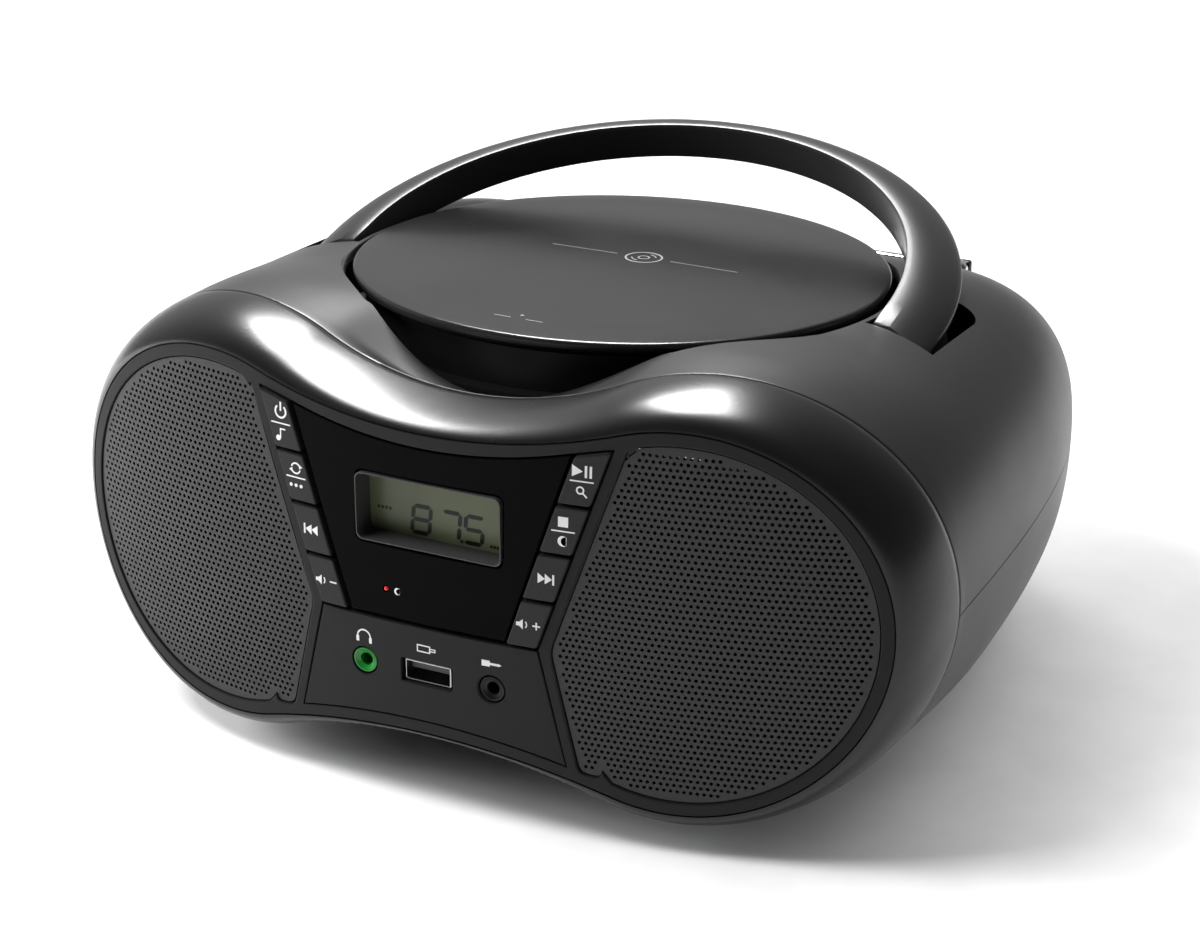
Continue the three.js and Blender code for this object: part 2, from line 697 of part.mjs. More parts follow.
// ---------- disc player ----------
function makeDeck() {
  let deck = turned([[0, -17], [74.8, -17], [74.8, -15], [DECK_R, -15], [DECK_R, -3.9], [68, -3.9], [68, -14.9], [0, -14.9]], 36);
  deck = cut(deck, rod(13, [0, 0, -20], [0, 0, -10], 28));
  deck = cut(deck, box(8, 56, -9, 9, -20, -10));
  deck = cut(deck, box(-HINGE_HALF - 1.6, HINGE_HALF + 1.6, 58, 90, -9.4, 0));
  for (const side of [1, -1]) {
    const ear = add(box(-1.5, 1.5, 69.2, 76.5, -16, -3.6), box(-1.5, 1.5, 71.8, 76.5, -4, -2.6));
    deck = add(deck, moved(ear, [side * (HINGE_HALF + 3.5), 0, 0]));
  }
  deck = cut(deck, rod(1.4, [-20, HINGE.y, HINGE.h], [20, HINGE.y, HINGE.h], 16));
  deck = cut(deck, box(-3.4, 3.4, -69, -65, -9, -5.5));
  deck = onDeck(deck);
  for (const side of [1, -1]) deck = cut(deck, sideBox(side, 72.6, 100, HUB.y - HUB.r - 3.4, POCKET.y1 + 3, 80, 120));
  return deck;
}

function makeLid() {
  const profile = [[0, -2.6], [66, -2.6], [70, -3.1], [72.7, -2.7], [73.36, -1.4], [73.2, -0.5], [72.3, 0], [45, 0.45], [0, 0.7]];
  let lid = turned(profile, 44);
  const tongue = box(-HINGE_HALF, HINGE_HALF, 66, 74.5, -3.4, -1);
  const half = HINGE_HALF + 1.2;
  const knuckle = rod(2.5, [-half, HINGE.y, HINGE.h], [half, HINGE.y, HINGE.h], 20);
  lid = add(lid, tongue, knuckle);
  lid = cut(lid, rod(1.4, [-20, HINGE.y, HINGE.h], [20, HINGE.y, HINGE.h], 16));
  const hook = box(-2.6, 2.6, -65.4, -63.6, -9, -2.5);
  lid = add(lid, hook, turned([[11.2, -2.4], [14.6, -2.4], [14.6, -5.2], [11.2, -5.2], [11.2, -2.4]], 18));
  return onDeck(lid);
}

const PIN_HALF = HINGE_HALF + 4.8;
const makeLidPin = () => onDeck(rod(1.1, [-PIN_HALF, HINGE.y, HINGE.h], [PIN_HALF, HINGE.y, HINGE.h], 14));

function makeClamp() {
  return onDeck(turned([[0, -5.9], [4, -5.9], [4, -6.7], [10.6, -6.7], [10.6, -3.2], [0, -3.2]], 18));
}

function makeTurntable() {
  const hub = turned([[0, -7.2], [5.6, -7.2], [7.2, -8.4], [7.2, -9.4], [12, -9.4], [12, -11.2], [5, -11.2], [5, -14], [0, -14]], 18);
  return onDeck(hub);
}

function makeSpindleMotor() {
  const motor = turned([[0, -14.4], [4, -14.4], [4, -15.6], [11.6, -15.6], [11.6, -25], [0, -25]], 18);
  return onDeck(motor);
}

function makeSled() {
  let sled = box(27, 45, -7.5, 7.5, -22.5, -17.4);
  sled = add(sled, rod(3.4, [33, 0, -17.8], [33, 0, -12.6], 20));
  sled = add(sled, box(30, 42, 12, 15.6, -22.6, -18.4), box(30, 42, 7, 13, -22.5, -20));
  sled = add(sled, box(30, 42, -15.6, -12, -22.6, -18.4), box(30, 42, -13, -7, -22.5, -20));
  for (const y of [13.8, -13.8]) sled = cut(sled, rod(1.35, [20, y, -20.5], [60, y, -20.5], 14));
  return onDeck(sled);
}

function makeChassis() {
  let frame = box(-16, 66, -21, 21, -20.6, -18.4);
  frame = cut(frame, rod(12.2, [0, 0, -30], [0, 0, -10], 28));
  frame = cut(frame, box(12.5, 62.5, -16.6, 16.6, -30, -10));
  for (const y of [13.8, -13.8]) frame = add(frame, rod(1, [11, y, -20.5], [64, y, -20.5], 12));
  return onDeck(frame);
}

const makeSledMotor = () => onDeck(add(rod(4.6, [58, -26.4, -25], [58, -26.4, -18], 16), rod(1, [58, -26.4, -28], [58, -26.4, -24], 10)));

// ---------- handle ----------
function archFrame(x, v, w) {
  const c = Math.cos(rad(ARCH.rise));
  const s = Math.sin(rad(ARCH.rise));
  return [x, ARCH.y + v * c - w * s, ARCH.z + v * s + w * c];
}

function makeHandle() {
  const rows = [];
  const steps = 26;
  for (let i = 0; i <= steps; i += 1) {
    const a = rad(180 * clamp01((i - 1) / (steps - 2)));
    const ahead = i === 0 || i === steps ? -18 : 0;
    const grow = Math.pow(Math.abs(Math.cos(a)), 1.3);
    const out = lerp(ARCH.top, ARCH.side, grow);
    const wide = out - ARCH.inner;
    const drop = lerp(3.2, 6.4, grow);
    const section = [
      [ARCH.inner - 0.2, -0.5],
      [ARCH.inner + 0.4, 0],
      [ARCH.inner + wide * 0.32, -drop * 0.08],
      [ARCH.inner + wide * 0.6, -drop * 0.32],
      [ARCH.inner + wide * 0.86, -drop * 0.7],
      [out, -drop - 0.8],
      [out - 0.8, -ARCH.tall],
      [ARCH.inner - 0.3, -ARCH.tall],
    ];
    rows.push(section.map(([r, w]) => archFrame(r * Math.cos(a), r * Math.sin(a) + ahead, w)));
  }
  let bow = skin(rows, false);
  for (const side of [1, -1]) {
    const profile = [[0, 77.6], [13, 77.6], [12.4, 82.7], [10.8, 86.8], [8.3, 90.2], [5.6, 92], [0, 92]];
    const drum = moved(turned(profile, 24), [0, 0, 0], [0, 90, 0]);
    const placed = moved(side > 0 ? drum : moved(drum, [0, 0, 0], [0, 0, 180]), [0, HUB.y, HUB.z]);
    bow = add(bow, placed);
  }
  const front = box(-100, 100, 80, HUB.y, 70, 140);
  bow = cut(bow, cut(front, rod(HUB.r, [-110, HUB.y, HUB.z], [110, HUB.y, HUB.z], 64)));
  for (const side of [1, -1]) bow = cut(bow, pivotHole(side, 2.3));
  return bow;
}

function makePin(side) {
  return rod(2, [side * 71.6, HUB.y, HUB.z], [side * 84, HUB.y, HUB.z], 14);
}

// ---------- aerial ----------
function makeAerialBase() {
  const [x, y, z] = [AERIAL.x, AERIAL.y, AERIAL.z];
  let base = rod(6.8, [x, y, z - 6], [x, y, z - 3.6], 24);
  base = add(base, box(x - 3, x + 3, y - 4.6, y - 2.2, z - 4, z + 2), box(x - 3, x + 3, y + 2.2, y + 4.6, z - 4, z + 2));
  return cut(base, rod(1.3, [x, y - 6, z], [x, y + 6, z], 14));
}

function makeAerialKnuckle() {
  const [x, y, z] = [AERIAL.x, AERIAL.y, AERIAL.z];
  let knuckle = rod(2.9, [x, y - 1.8, z], [x, y + 1.8, z], 20);
  knuckle = add(knuckle, box(x - 9, x, y - 1.5, y + 1.5, z - 1.5, z + 1.5));
  return add(knuckle, rod(1, [x, y - 4.4, z], [x, y + 4.4, z], 12), rod(AERIAL.r, [x - 10, y, z], [x - 5, y, z], 18));
}

function makeTube(r, bore, x0, x1) {
  let tube = rod(r, [x1, AERIAL.y, AERIAL.z], [x0, AERIAL.y, AERIAL.z], 14);
  if (bore) tube = cut(tube, rod(bore, [x1 - 4, AERIAL.y, AERIAL.z], [x0 - 1, AERIAL.y, AERIAL.z], 14));
  return tube;
}

function makeAerialTip() {
  const cap = rod(2, [-75, AERIAL.y, AERIAL.z], [-79.4, AERIAL.y, AERIAL.z], 14, 1.9);
  return add(makeTube(0.7, 0, -75.5, 46), cap);
}

// ---------- rear: battery bay, door, mains inlet, transformer ----------
function makeTray() {
  let tray = box(-57, 57, 160, 206.6, 11, 57.6);
  tray = cut(tray, box(-55, 55, 162, 220, 13, 55.6));
  return cut(tray, box(-40, 40, 150, 165, 30, 44));
}

function makeDoor() {
  const plate = box(-DOOR.x, DOOR.x, 207.6, DEPTH, DOOR.z0, DOOR.z1);
  const bar = rod(1.6, [-DOOR.x + 2, 208.3, DOOR.z0 + 1.6], [DOOR.x - 2, 208.3, DOOR.z0 + 1.6], 14);
  const grip = rod(6, [-8, DEPTH + 4.6, DOOR.z1 - 5], [8, DEPTH + 4.6, DOOR.z1 - 5], 18);
  return cut(add(plate, bar), grip);
}

function makeContacts(side) {
  let plate = sideBox(side, 53.4, 54.6, 166, 202, 15, 53);
  for (const z of [24, 44]) {
    for (const y of [175, 193]) {
      const a = [side * 53.6, y, z];
      plate = add(plate, rod(6, a, [side * 50, y, z], 16, 3));
    }
  }
  return plate;
}

function makeInlet() {
  let inlet = box(62, 78, 196, DEPTH - 0.6, 22, 32);
  inlet = cut(inlet, box(63.6, 76.4, 200, 220, 23.8, 30.2));
  for (const x of [67.2, 72.8]) inlet = add(inlet, rod(1.2, [x, 197, 27], [x, 207, 27], 12));
  return inlet;
}

function makeTransformer() {
  return add(box(46, 76, 116, 144, 9, 39), box(51, 71, 110, 150, 12, 36));
}

function makeMainBoard() {
  let board = box(-62, 50, 62, 108, 44, 45.6);
  board = add(board, box(-50, -30, 70, 90, 45.5, 60), box(-20, -2, 72, 88, 45.5, 50));
  for (const x of [8, 20, 32]) board = add(board, rod(4.2, [x, 84, 45.5], [x, 84, 60], 16));
  return board;
}

const makeFoot = ([x, y]) => add(rod(7, [x, y, 0], [x, y, 3.3], 16, 7.6), rod(1.9, [x, y, 3], [x, y, 6.6], 8));

function makeScrew([x, y]) {
  const head = rod(3.4, [x, y, 8.6], [x, y, 11.6], 12);
  const slot = box(x - 2.4, x + 2.4, y - 0.5, y + 0.5, 8, 9.6);
  return cut(add(head, rod(1.6, [x, y, 11], [x, y, 40], 8)), slot);
}

// ---------- materials and the group ----------
const COLOUR = {
  shell: [0x26262a, 0.32, 0.0],
  panel: [0x2c2c2e, 0.6, 0.0],
  grille: [0x5a5a5c, 0.45, 0.7],
  lens: [0x060607, 0.05, 0.0],
  button: [0x2a2a2c, 0.55, 0.0],
  lcd: [0x4c5341, 0.3, 0.0],
  red: [0xc02018, 0.3, 0.0],
  green: [0x0f7a22, 0.4, 0.0],
  inner: [0x151516, 0.7, 0.0],
  steel: [0xb4b6b8, 0.3, 1.0],
  chrome: [0xd8d8da, 0.15, 1.0],
  board: [0x1c5a34, 0.6, 0.0],
  cone: [0x101010, 0.9, 0.0],
  rubber: [0x141414, 0.95, 0.0],
  magnet: [0x3a3a3c, 0.6, 0.4],
};

const radio = new THREE.Group();
radio.name = "tabletop_radio";

function node(name, body, look) {
  const [color, roughness, metalness] = COLOUR[look];
  const material = new THREE.MeshStandardMaterial({ color, roughness, metalness, flatShading: true });
  material.name = look;
  const mesh = new THREE.Mesh(geometryOf(body), material);
  mesh.name = name;
  radio.add(mesh);
}

node("front_ring", makeRing(), "shell");
node("front_panel", makePanel(), "panel");
node("top_cabinet", makeTop(), "shell");
node("bottom_cabinet", makeBottom(), "shell");
node("speaker_grille_left", facePlate(grilleOutline(-1, 0.3), 0.5, 1.6, 16), "grille");
node("speaker_grille_right", facePlate(grilleOutline(1, 0.3), 0.5, 1.6, 16), "grille");
node("display_lens", makeLens(), "lens");
node("lcd_module", makeLcd(), "lcd");
node("sleep_led", makeLed(), "red");
node("jack_panel", makeJackPanel(), "panel");
node("headphone_jack", makeJack(JACKS.left), "green");
node("aux_jack", makeJack(JACKS.right), "inner");
node("usb_socket", makeUsb(), "steel");

const LEFT = ["volume_down_button", "previous_button", "mode_button", "power_button"];
const RIGHT = ["volume_up_button", "next_button", "stop_button", "play_button"];
LEFT.forEach((name, row) => node(name, makeButton(-1, row), "button"));
RIGHT.forEach((name, row) => node(name, makeButton(1, row), "button"));
node("key_board", makeKeyBoard(), "board");

for (const [word, side] of [["left", -1], ["right", 1]]) {
  node("speaker_basket_" + word, makeBasket(side), "magnet");
  node("speaker_cone_" + word, makeCone(side), "cone");
  node("speaker_magnet_" + word, makeMagnet(side), "magnet");
}

node("cd_deck", makeDeck(), "inner");
node("cd_lid", makeLid(), "shell");
node("lid_hinge_pin", makeLidPin(), "steel");
node("disc_clamp", makeClamp(), "inner");
node("turntable", makeTurntable(), "inner");
node("spindle_motor", makeSpindleMotor(), "steel");
node("laser_sled", makeSled(), "inner");
node("player_chassis", makeChassis(), "steel");
node("sled_motor", makeSledMotor(), "steel");

node("carry_handle", makeHandle(), "shell");
node("handle_pin_left", makePin(-1), "steel");
node("handle_pin_right", makePin(1), "steel");

node("aerial_base", makeAerialBase(), "inner");
node("aerial_knuckle", makeAerialKnuckle(), "chrome");
node("aerial_tube_1", makeTube(AERIAL.r, 1.7, -64, 55.6), "chrome");
node("aerial_tube_2", makeTube(1.4, 1, -69, 51), "chrome");
node("aerial_tip", makeAerialTip(), "chrome");

node("main_board", makeMainBoard(), "board");
node("mains_transformer", makeTransformer(), "magnet");
node("ac_inlet", makeInlet(), "inner");
node("battery_tray", makeTray(), "inner");
node("battery_contacts_left", makeContacts(-1), "chrome");
node("battery_contacts_right", makeContacts(1), "chrome");
node("battery_door", makeDoor(), "shell");
FEET.forEach((at, i) => node("foot_" + (i + 1), makeFoot(at), "rubber"));
SCREWS.forEach((at, i) => node("case_screw_" + (i + 1), makeScrew(at), "steel"));

radio.children.forEach((mesh) => mesh.geometry.translate(0, -MID_Y, 0));

export default radio;
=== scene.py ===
import json
import math

import bmesh
import bpy
import numpy as np
from mathutils import Matrix, Vector
from mathutils.bvhtree import BVHTree


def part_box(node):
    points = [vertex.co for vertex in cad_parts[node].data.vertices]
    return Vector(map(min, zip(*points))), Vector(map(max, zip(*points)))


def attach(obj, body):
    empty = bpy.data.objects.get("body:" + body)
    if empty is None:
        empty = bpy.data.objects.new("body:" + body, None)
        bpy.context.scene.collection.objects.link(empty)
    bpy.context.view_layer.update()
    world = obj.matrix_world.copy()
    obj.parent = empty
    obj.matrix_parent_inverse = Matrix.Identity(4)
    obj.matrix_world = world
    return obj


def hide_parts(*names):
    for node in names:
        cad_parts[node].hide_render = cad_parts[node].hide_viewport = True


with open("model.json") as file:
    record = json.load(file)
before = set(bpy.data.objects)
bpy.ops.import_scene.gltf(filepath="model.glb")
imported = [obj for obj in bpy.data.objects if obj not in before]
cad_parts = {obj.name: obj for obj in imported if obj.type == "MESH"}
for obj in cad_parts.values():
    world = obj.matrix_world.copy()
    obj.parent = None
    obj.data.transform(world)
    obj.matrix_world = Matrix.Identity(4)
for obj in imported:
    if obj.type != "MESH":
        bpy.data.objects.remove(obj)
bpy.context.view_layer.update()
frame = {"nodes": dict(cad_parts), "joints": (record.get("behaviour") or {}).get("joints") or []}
joints = {j["name"]: j for j in frame["joints"]}

# ---------- driving dimensions, in millimetres ----------
MM = 0.001
DEPTH = 210.0
MID_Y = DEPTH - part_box("bottom_cabinet")[1].y / MM
JACK_Z = 37.5
LOBE_X = 65.0
LOBE_Z = 61.0
BEZEL_R = 50.3
BEZEL_TOP = 40.7
BEZEL_BOTTOM = 40.2
RING_GROW = 7.1
RING_GROW_TOP = 3.3
RING_GROW_BOTTOM = 3.8
RING_DEPTH = 21.3
WALL = 2.6
GAP = 0.3
SPLIT_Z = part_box("bottom_cabinet")[1].z / MM + GAP / 2
REAR_END = 211.5
LEAN, TALL, WIDE, WIDE4 = 0.0095, 0.000308, 14.23, 1.753
WELL_R = 75.4
DECK_R = 70.0
LID_R = 73.36
LID_FLAT, LID_CROWN = 72.2, 0.7  # radius of the lid's top face and its crown
ARCH_INNER, ARCH_SIDE, ARCH_TOP, ARCH_TALL = 77.9, 92.8, 86.6, 10.4
ARCH_RISE = math.radians(13.2)
ARCH_Y, ARCH_Z = 109.0, 114.1


def inner_mm(point):
    """A row-frame point in metres, as part millimetres."""
    return np.array([point[0] / MM, point[1] / MM + MID_Y, point[2] / MM])


SPIN_AXIS = np.array(joints["turntable_spin"]["axis"], float)
SPIN_AXIS /= np.linalg.norm(SPIN_AXIS)
TURNTABLE_H = -9.0
LID_MID = inner_mm(joints["turntable_spin"]["pos_m"]) - TURNTABLE_H * SPIN_AXIS
HINGE_Y, HINGE_H = 74.0, -4.5
HUB = inner_mm(joints["handle_swing"]["pos_m"])
FOOT_R = 16.6
POCKET_R, POCKET_X, POCKET_Y0, POCKET_Y1, POCKET_Z, POCKET_ROUND = 76.9, 95.4, 98.4, 136.0, 96.4, 9.0
SCOOP_X, SCOOP_DEEP, SCOOP_AT = 42.0, 6.0, 0.2
HINGE_HALF = 11.4
AERIAL = inner_mm(joints["aerial_tilt"]["pos_m"])


# ---------- small helpers ----------
def smooth(t):
    t = np.clip(t, 0.0, 1.0)
    return t * t * (3 - 2 * t)


def deck(p):
    """Deck coordinates (origin on the lid plane, +Z along the spindle) to part millimetres."""
    p = np.asarray(p, float)
    back = np.array([0.0, SPIN_AXIS[2], -SPIN_AXIS[1]])
    return LID_MID + p[:, :1] * np.array([1.0, 0, 0]) + p[:, 1:2] * back + p[:, 2:3] * SPIN_AXIS


def face_y(x, z):
    s = z - JACK_Z
    w = (x / 100.0) ** 2
    return LEAN * s + TALL * s * s + WIDE * w + WIDE4 * w * w


def face_normal(x, z):
    s = z - JACK_Z
    dx = 2 * WIDE * x / 1e4 + 4 * WIDE4 * x**3 / 1e8
    dz = LEAN + 2 * TALL * s
    n = np.stack([dx, -np.ones_like(dx), dz], axis=-1)
    return n / np.linalg.norm(n, axis=-1, keepdims=True)


def thing(verts, faces, to=None):
    """A closed mesh object in part millimetres, faces pointing out."""
    verts = np.asarray(verts, float)
    if to is not None:
        verts = to(verts)
    mesh = bpy.data.meshes.new("mesh")
    mesh.from_pydata(verts.tolist(), [], [list(f) for f in faces])
    bm = bmesh.new()
    bm.from_mesh(mesh)
    bmesh.ops.remove_doubles(bm, verts=bm.verts, dist=1e-5)
    bmesh.ops.recalc_face_normals(bm, faces=bm.faces)
    if bm.calc_volume(signed=True) < 0:
        bmesh.ops.reverse_faces(bm, faces=bm.faces)
    bm.to_mesh(mesh)
    bm.free()
    obj = bpy.data.objects.new("thing", mesh)
    bpy.context.scene.collection.objects.link(obj)
    return obj


def drop(obj):
    mesh = obj.data
    bpy.data.objects.remove(obj)
    bpy.data.meshes.remove(mesh)


def boolean(a, b, how="DIFFERENCE", keep=False):
    mod = a.modifiers.new("cut", "BOOLEAN")
    mod.object = b
    mod.operation = how
    mod.solver = "MANIFOLD"
    graph = bpy.context.evaluated_depsgraph_get()
    made = bpy.data.meshes.new_from_object(a.evaluated_get(graph))
    a.modifiers.clear()
    old = a.data
    a.data = made
    bpy.data.meshes.remove(old)
    if not keep:
        drop(b)
    if len(a.data.polygons) < 4:
        raise RuntimeError("an empty boolean")
    return a


def cut(a, *others):
    for b in others:
        boolean(a, b)
    return a


def union(a, *others):
    for b in others:
        boolean(a, b, "UNION")
    return a


def loft(rings, looped=False, to=None):
    """Skins rings of equal length, closed round each ring; the ends are capped unless looped."""
    n = len(rings[0])
    verts = np.concatenate([np.asarray(r, float) for r in rings])
    faces = []
    count = len(rings)
    for j in range(count if looped else count - 1):
        k = (j + 1) % count
        for i in range(n):
            m = (i + 1) % n
            faces.append((j * n + i, j * n + m, k * n + m, k * n + i))
    if not looped:
        faces.append(tuple(reversed(range(n))))
        faces.append(tuple((count - 1) * n + i for i in range(n)))
    return thing(verts, faces, to)


def lathe(profile, steps=96, to=None):
    """A closed profile of (radius, height) turned about +Z; points on the axis become poles."""
    verts = []
    rows = []
    turn = np.linspace(0, 2 * math.pi, steps, endpoint=False)
    for r, h in profile:
        first = len(verts)
        if r < 1e-9:
            verts.append((0.0, 0.0, h))
            rows.append([first] * steps)
        else:
            verts.extend((r * math.cos(a), r * math.sin(a), h) for a in turn)
            rows.append(list(range(first, first + steps)))
    faces = []
    for j in range(len(rows)):
        a, b = rows[j], rows[(j + 1) % len(rows)]
        if a[0] == a[1] and b[0] == b[1]:
            continue
        for i in range(steps):
            m = (i + 1) % steps
            ring = [a[i], a[m], b[m], b[i]]
            faces.append(tuple(dict.fromkeys(ring)))
    return thing(verts, faces, to)


def rounded(points, radii, steps=5, closed=True):
    """The outline with each corner replaced by a smooth curve that starts its radius away."""
    out = []
    n = len(points)
    for i, p in enumerate(points):
        r = radii[i] if hasattr(radii, "__len__") else radii
        if r <= 0 or (not closed and i in (0, n - 1)):
            out.append(tuple(p))
            continue
        p = np.array(p, float)
        a, b = np.array(points[i - 1], float), np.array(points[(i + 1) % n], float)
        start = p + (a - p) * min(0.48, r / np.linalg.norm(a - p))
        end = p + (b - p) * min(0.48, r / np.linalg.norm(b - p))
        for k in range(steps + 1):
            t = k / steps
            out.append(tuple((1 - t) ** 2 * start + 2 * t * (1 - t) * p + t * t * end))
    return out


def block(x0, x1, y0, y1, z0, z1, to=None):
    v = [(x, y, z) for x in (x0, x1) for y in (y0, y1) for z in (z0, z1)]
    f = [(0, 1, 3, 2), (4, 6, 7, 5), (0, 4, 5, 1), (2, 3, 7, 6), (0, 2, 6, 4), (1, 5, 7, 3)]
    return thing(v, f, to)


def soft_block(x0, x1, y0, y1, z0, z1, r, to=None, steps=4):
    """A block with rounded corners seen along Y and a small round at both ends."""
    def ring(inset, y):
        pts = [(x0 + inset, z0 + inset), (x1 - inset, z0 + inset), (x1 - inset, z1 - inset), (x0 + inset, z1 - inset)]
        return [(x, y, z) for x, z in rounded(pts, r, steps)]
    e = min(r, (y1 - y0) / 3) * 0.5
    rows = [ring(e, y0), ring(e * 0.3, y0 + e * 0.3), ring(0, y0 + e)]
    rows += [ring(0, y1 - e), ring(e * 0.3, y1 - e * 0.3), ring(e, y1)]
    return loft(rows, to=to)


def rod(r, a, b, sides=40, r2=None, edge=0.0, to=None):
    a, b = np.array(a, float), np.array(b, float)
    along = b - a
    length = np.linalg.norm(along)
    turn = Vector((0, 0, 1)).rotation_difference(Vector(along)).to_matrix()
    turn = np.array(turn)
    r2 = r if r2 is None else r2
    profile = [(0, 0)]
    if edge:
        profile += [(r - edge, 0), (r - edge * 0.3, edge * 0.3), (r, edge)]
        profile += [(r2, length - edge), (r2 - edge * 0.3, length - edge * 0.3), (r2 - edge, length)]
    else:
        profile += [(r, 0), (r2, length)]
    profile.append((0, length))

    def place(v):
        v = v @ turn.T + a
        return v if to is None else to(v)
    return lathe(profile, sides, place)


# ---------- outlines ----------
LOBE_STEPS = 80
WAIST_STEPS = 56


def stations():
    """(kind, value): lobe sign with its angle, or 0 with x and side."""
    rows = [(1, math.radians(-90 + 180 * i / LOBE_STEPS), 0) for i in range(LOBE_STEPS)]
    rows += [(0, LOBE_X - 2 * LOBE_X * i / WAIST_STEPS, 1) for i in range(WAIST_STEPS)]
    rows += [(-1, math.radians(90 - 180 * i / LOBE_STEPS), 0) for i in range(LOBE_STEPS)]
    rows += [(0, -LOBE_X + 2 * LOBE_X * i / WAIST_STEPS, -1) for i in range(WAIST_STEPS)]
    return rows


STATIONS = stations()
KIND = np.array([s[0] for s in STATIONS])
VALUE = np.array([s[1] for s in STATIONS])
UP = np.array([s[2] for s in STATIONS])
LOBE = KIND != 0


def waist_height(x, r, h):
    rw = (LOBE_X**2 + h * h - r * r) / (2 * (r - h))
    tangent = LOBE_X * rw / (r + rw)
    ax = np.abs(x)
    mid = h + rw - np.sqrt(np.maximum(0, rw * rw - ax * ax))
    lobe = np.sqrt(np.maximum(0, r * r - (LOBE_X - ax) ** 2))
    return np.where(ax < tangent, mid, lobe)


def ring_xz(k, d):
    r = BEZEL_R + RING_GROW * k - d
    top = BEZEL_TOP + RING_GROW_TOP * k - d
    bottom = BEZEL_BOTTOM + RING_GROW_BOTTOM * k - d
    turn = np.where(LOBE, VALUE, 0)
    x = np.where(LOBE, KIND * (LOBE_X + r * np.cos(turn)), VALUE)
    height = np.where(UP > 0, waist_height(x, r, top), -waist_height(x, r, bottom))
    z = LOBE_Z + np.where(LOBE, r * np.sin(turn), height)
    return x, z


def ring_row(k, d, off):
    x, z = ring_xz(k, d)
    return np.stack([x, face_y(x, z) + off, z], axis=1)


def peanut(d):
    x, z = ring_xz(0, d)
    return [(a, b - JACK_Z) for a, b in zip(x, z)]


# ---------- the front ring ----------
def make_ring():
    rows = []
    steps = 20
    for i in range(steps + 1):
        t = math.radians(90 * i / steps)
        rows.append(ring_row(math.sin(t), 0, (RING_DEPTH - 0.35) * (1 - math.cos(t))))
    rows += [ring_row(1, 0.1, RING_DEPTH - 0.1), ring_row(1, 0.4, RING_DEPTH)]
    rows += [ring_row(1, WALL, RING_DEPTH), ring_row(0.45, WALL, 5.8), ring_row(0, 3.4, 5.8)]
    rows += [ring_row(0, 3.4, 3.6), ring_row(0, 0, 3.6), ring_row(0, 0, 1.5)]
    return loft(rows, looped=True)


# ---------- the rear shell ----------
def lid_plane(y):
    return LID_MID[2] + (LID_MID[1] - y) * SPIN_AXIS[1] / SPIN_AXIS[2]


def side_swell(y):
    t = np.clip((y - 46) / (REAR_END - 46), 0, 1)
    return 57.2 * np.power(np.maximum(1e-6, 1 - t**2.6), 1 / 3.2)


def roof_drop(y):
    u = min(1.0, max(0.0, (y - 140) / 74))
    return 40 * (1 - math.sqrt(1 - u * u))


def rear_round(y, r):
    u = min(1.0, max(0.0, (y - (DEPTH - r)) / r))
    return r * (1 - math.sqrt(max(0.0, 1 - u * u * 0.96)))


def shell_points(y, d):
    w = float(smooth((y - 30) / 58))
    flat = float(smooth((y - 30) / 40))
    roof = lid_plane(y) - 1.4 - LOBE_Z - roof_drop(y) - rear_round(y, 6)
    floor = 57.4 - rear_round(y, 8)
    seam_r = BEZEL_R + RING_GROW
    p = 2 + 0.35 * w
    side = side_swell(y) - d
    turn = np.where(LOBE, VALUE, 0)
    c, s = np.cos(turn), np.sin(turn)
    high = np.where(s > 0, seam_r + (roof - seam_r) * w - d, floor - d)
    lobe_x = KIND * (LOBE_X + side * np.abs(c) ** (2 / p))
    lobe_z = LOBE_Z + high * np.sign(s) * np.abs(s) ** (2 / p)
    x = np.where(LOBE, lobe_x, VALUE)
    top = waist_height(x, seam_r, BEZEL_TOP + RING_GROW_TOP)
    low = waist_height(x, seam_r, BEZEL_BOTTOM + RING_GROW_BOTTOM)
    waist_z = np.where(UP > 0, LOBE_Z + top + (roof - top) * w - d, LOBE_Z - low - (floor - low) * flat + d)
    z = np.where(LOBE, lobe_z, waist_z)
    return np.stack([x, np.full_like(x, y), z], axis=1)


def scooped(points, share):
    """Lowers the upper waist points to make the finger scoop in front of the lid."""
    out = np.array(points, float)
    deep = SCOOP_DEEP * np.maximum(0, 1 - (out[:, 0] / SCOOP_X) ** 2) ** 1.5
    out[:, 2] -= np.where(LOBE | (UP < 0), 0, deep * share)
    return out


SHELL_START = 52.0
INNER_Y = [52, 90, 140, 160, 176, 190, 200, DEPTH - WALL]


def shell_rows():
    """Outer rows from the seam to the rear wall: a smooth bridge first, then the formula."""
    off = RING_DEPTH + GAP
    seam = ring_row(1, 0, off)
    start = shell_points(SHELL_START, 0)
    slope = (shell_points(SHELL_START + 1, 0) - start) * (SHELL_START - seam[:, 1:2])
    rows = [ring_row(1, 0.4, off), ring_row(1, 0.1, off + 0.1)]
    first = ring_row(1, 0, off + 0.4)
    steps = 15
    for i in range(steps):
        t = i / steps
        share = float(smooth(t / SCOOP_AT))
        h00, h10 = 2 * t**3 - 3 * t**2 + 1, t**3 - 2 * t**2 + t
        h01, h11 = -2 * t**3 + 3 * t**2, t**3 - t**2
        rows.append(scooped(h00 * first + h10 * (start - first) + h01 * start + h11 * slope, share))
    for y in np.arange(SHELL_START, 176, 4):
        rows.append(scooped(shell_points(y, 0), float(smooth((70 - y) / 18))))
    for i in range(18):
        rows.append(shell_points(176 + (DEPTH - 176) * math.sin(math.radians(90 * (i + 0.5) / 17.5)), 0))
    return rows


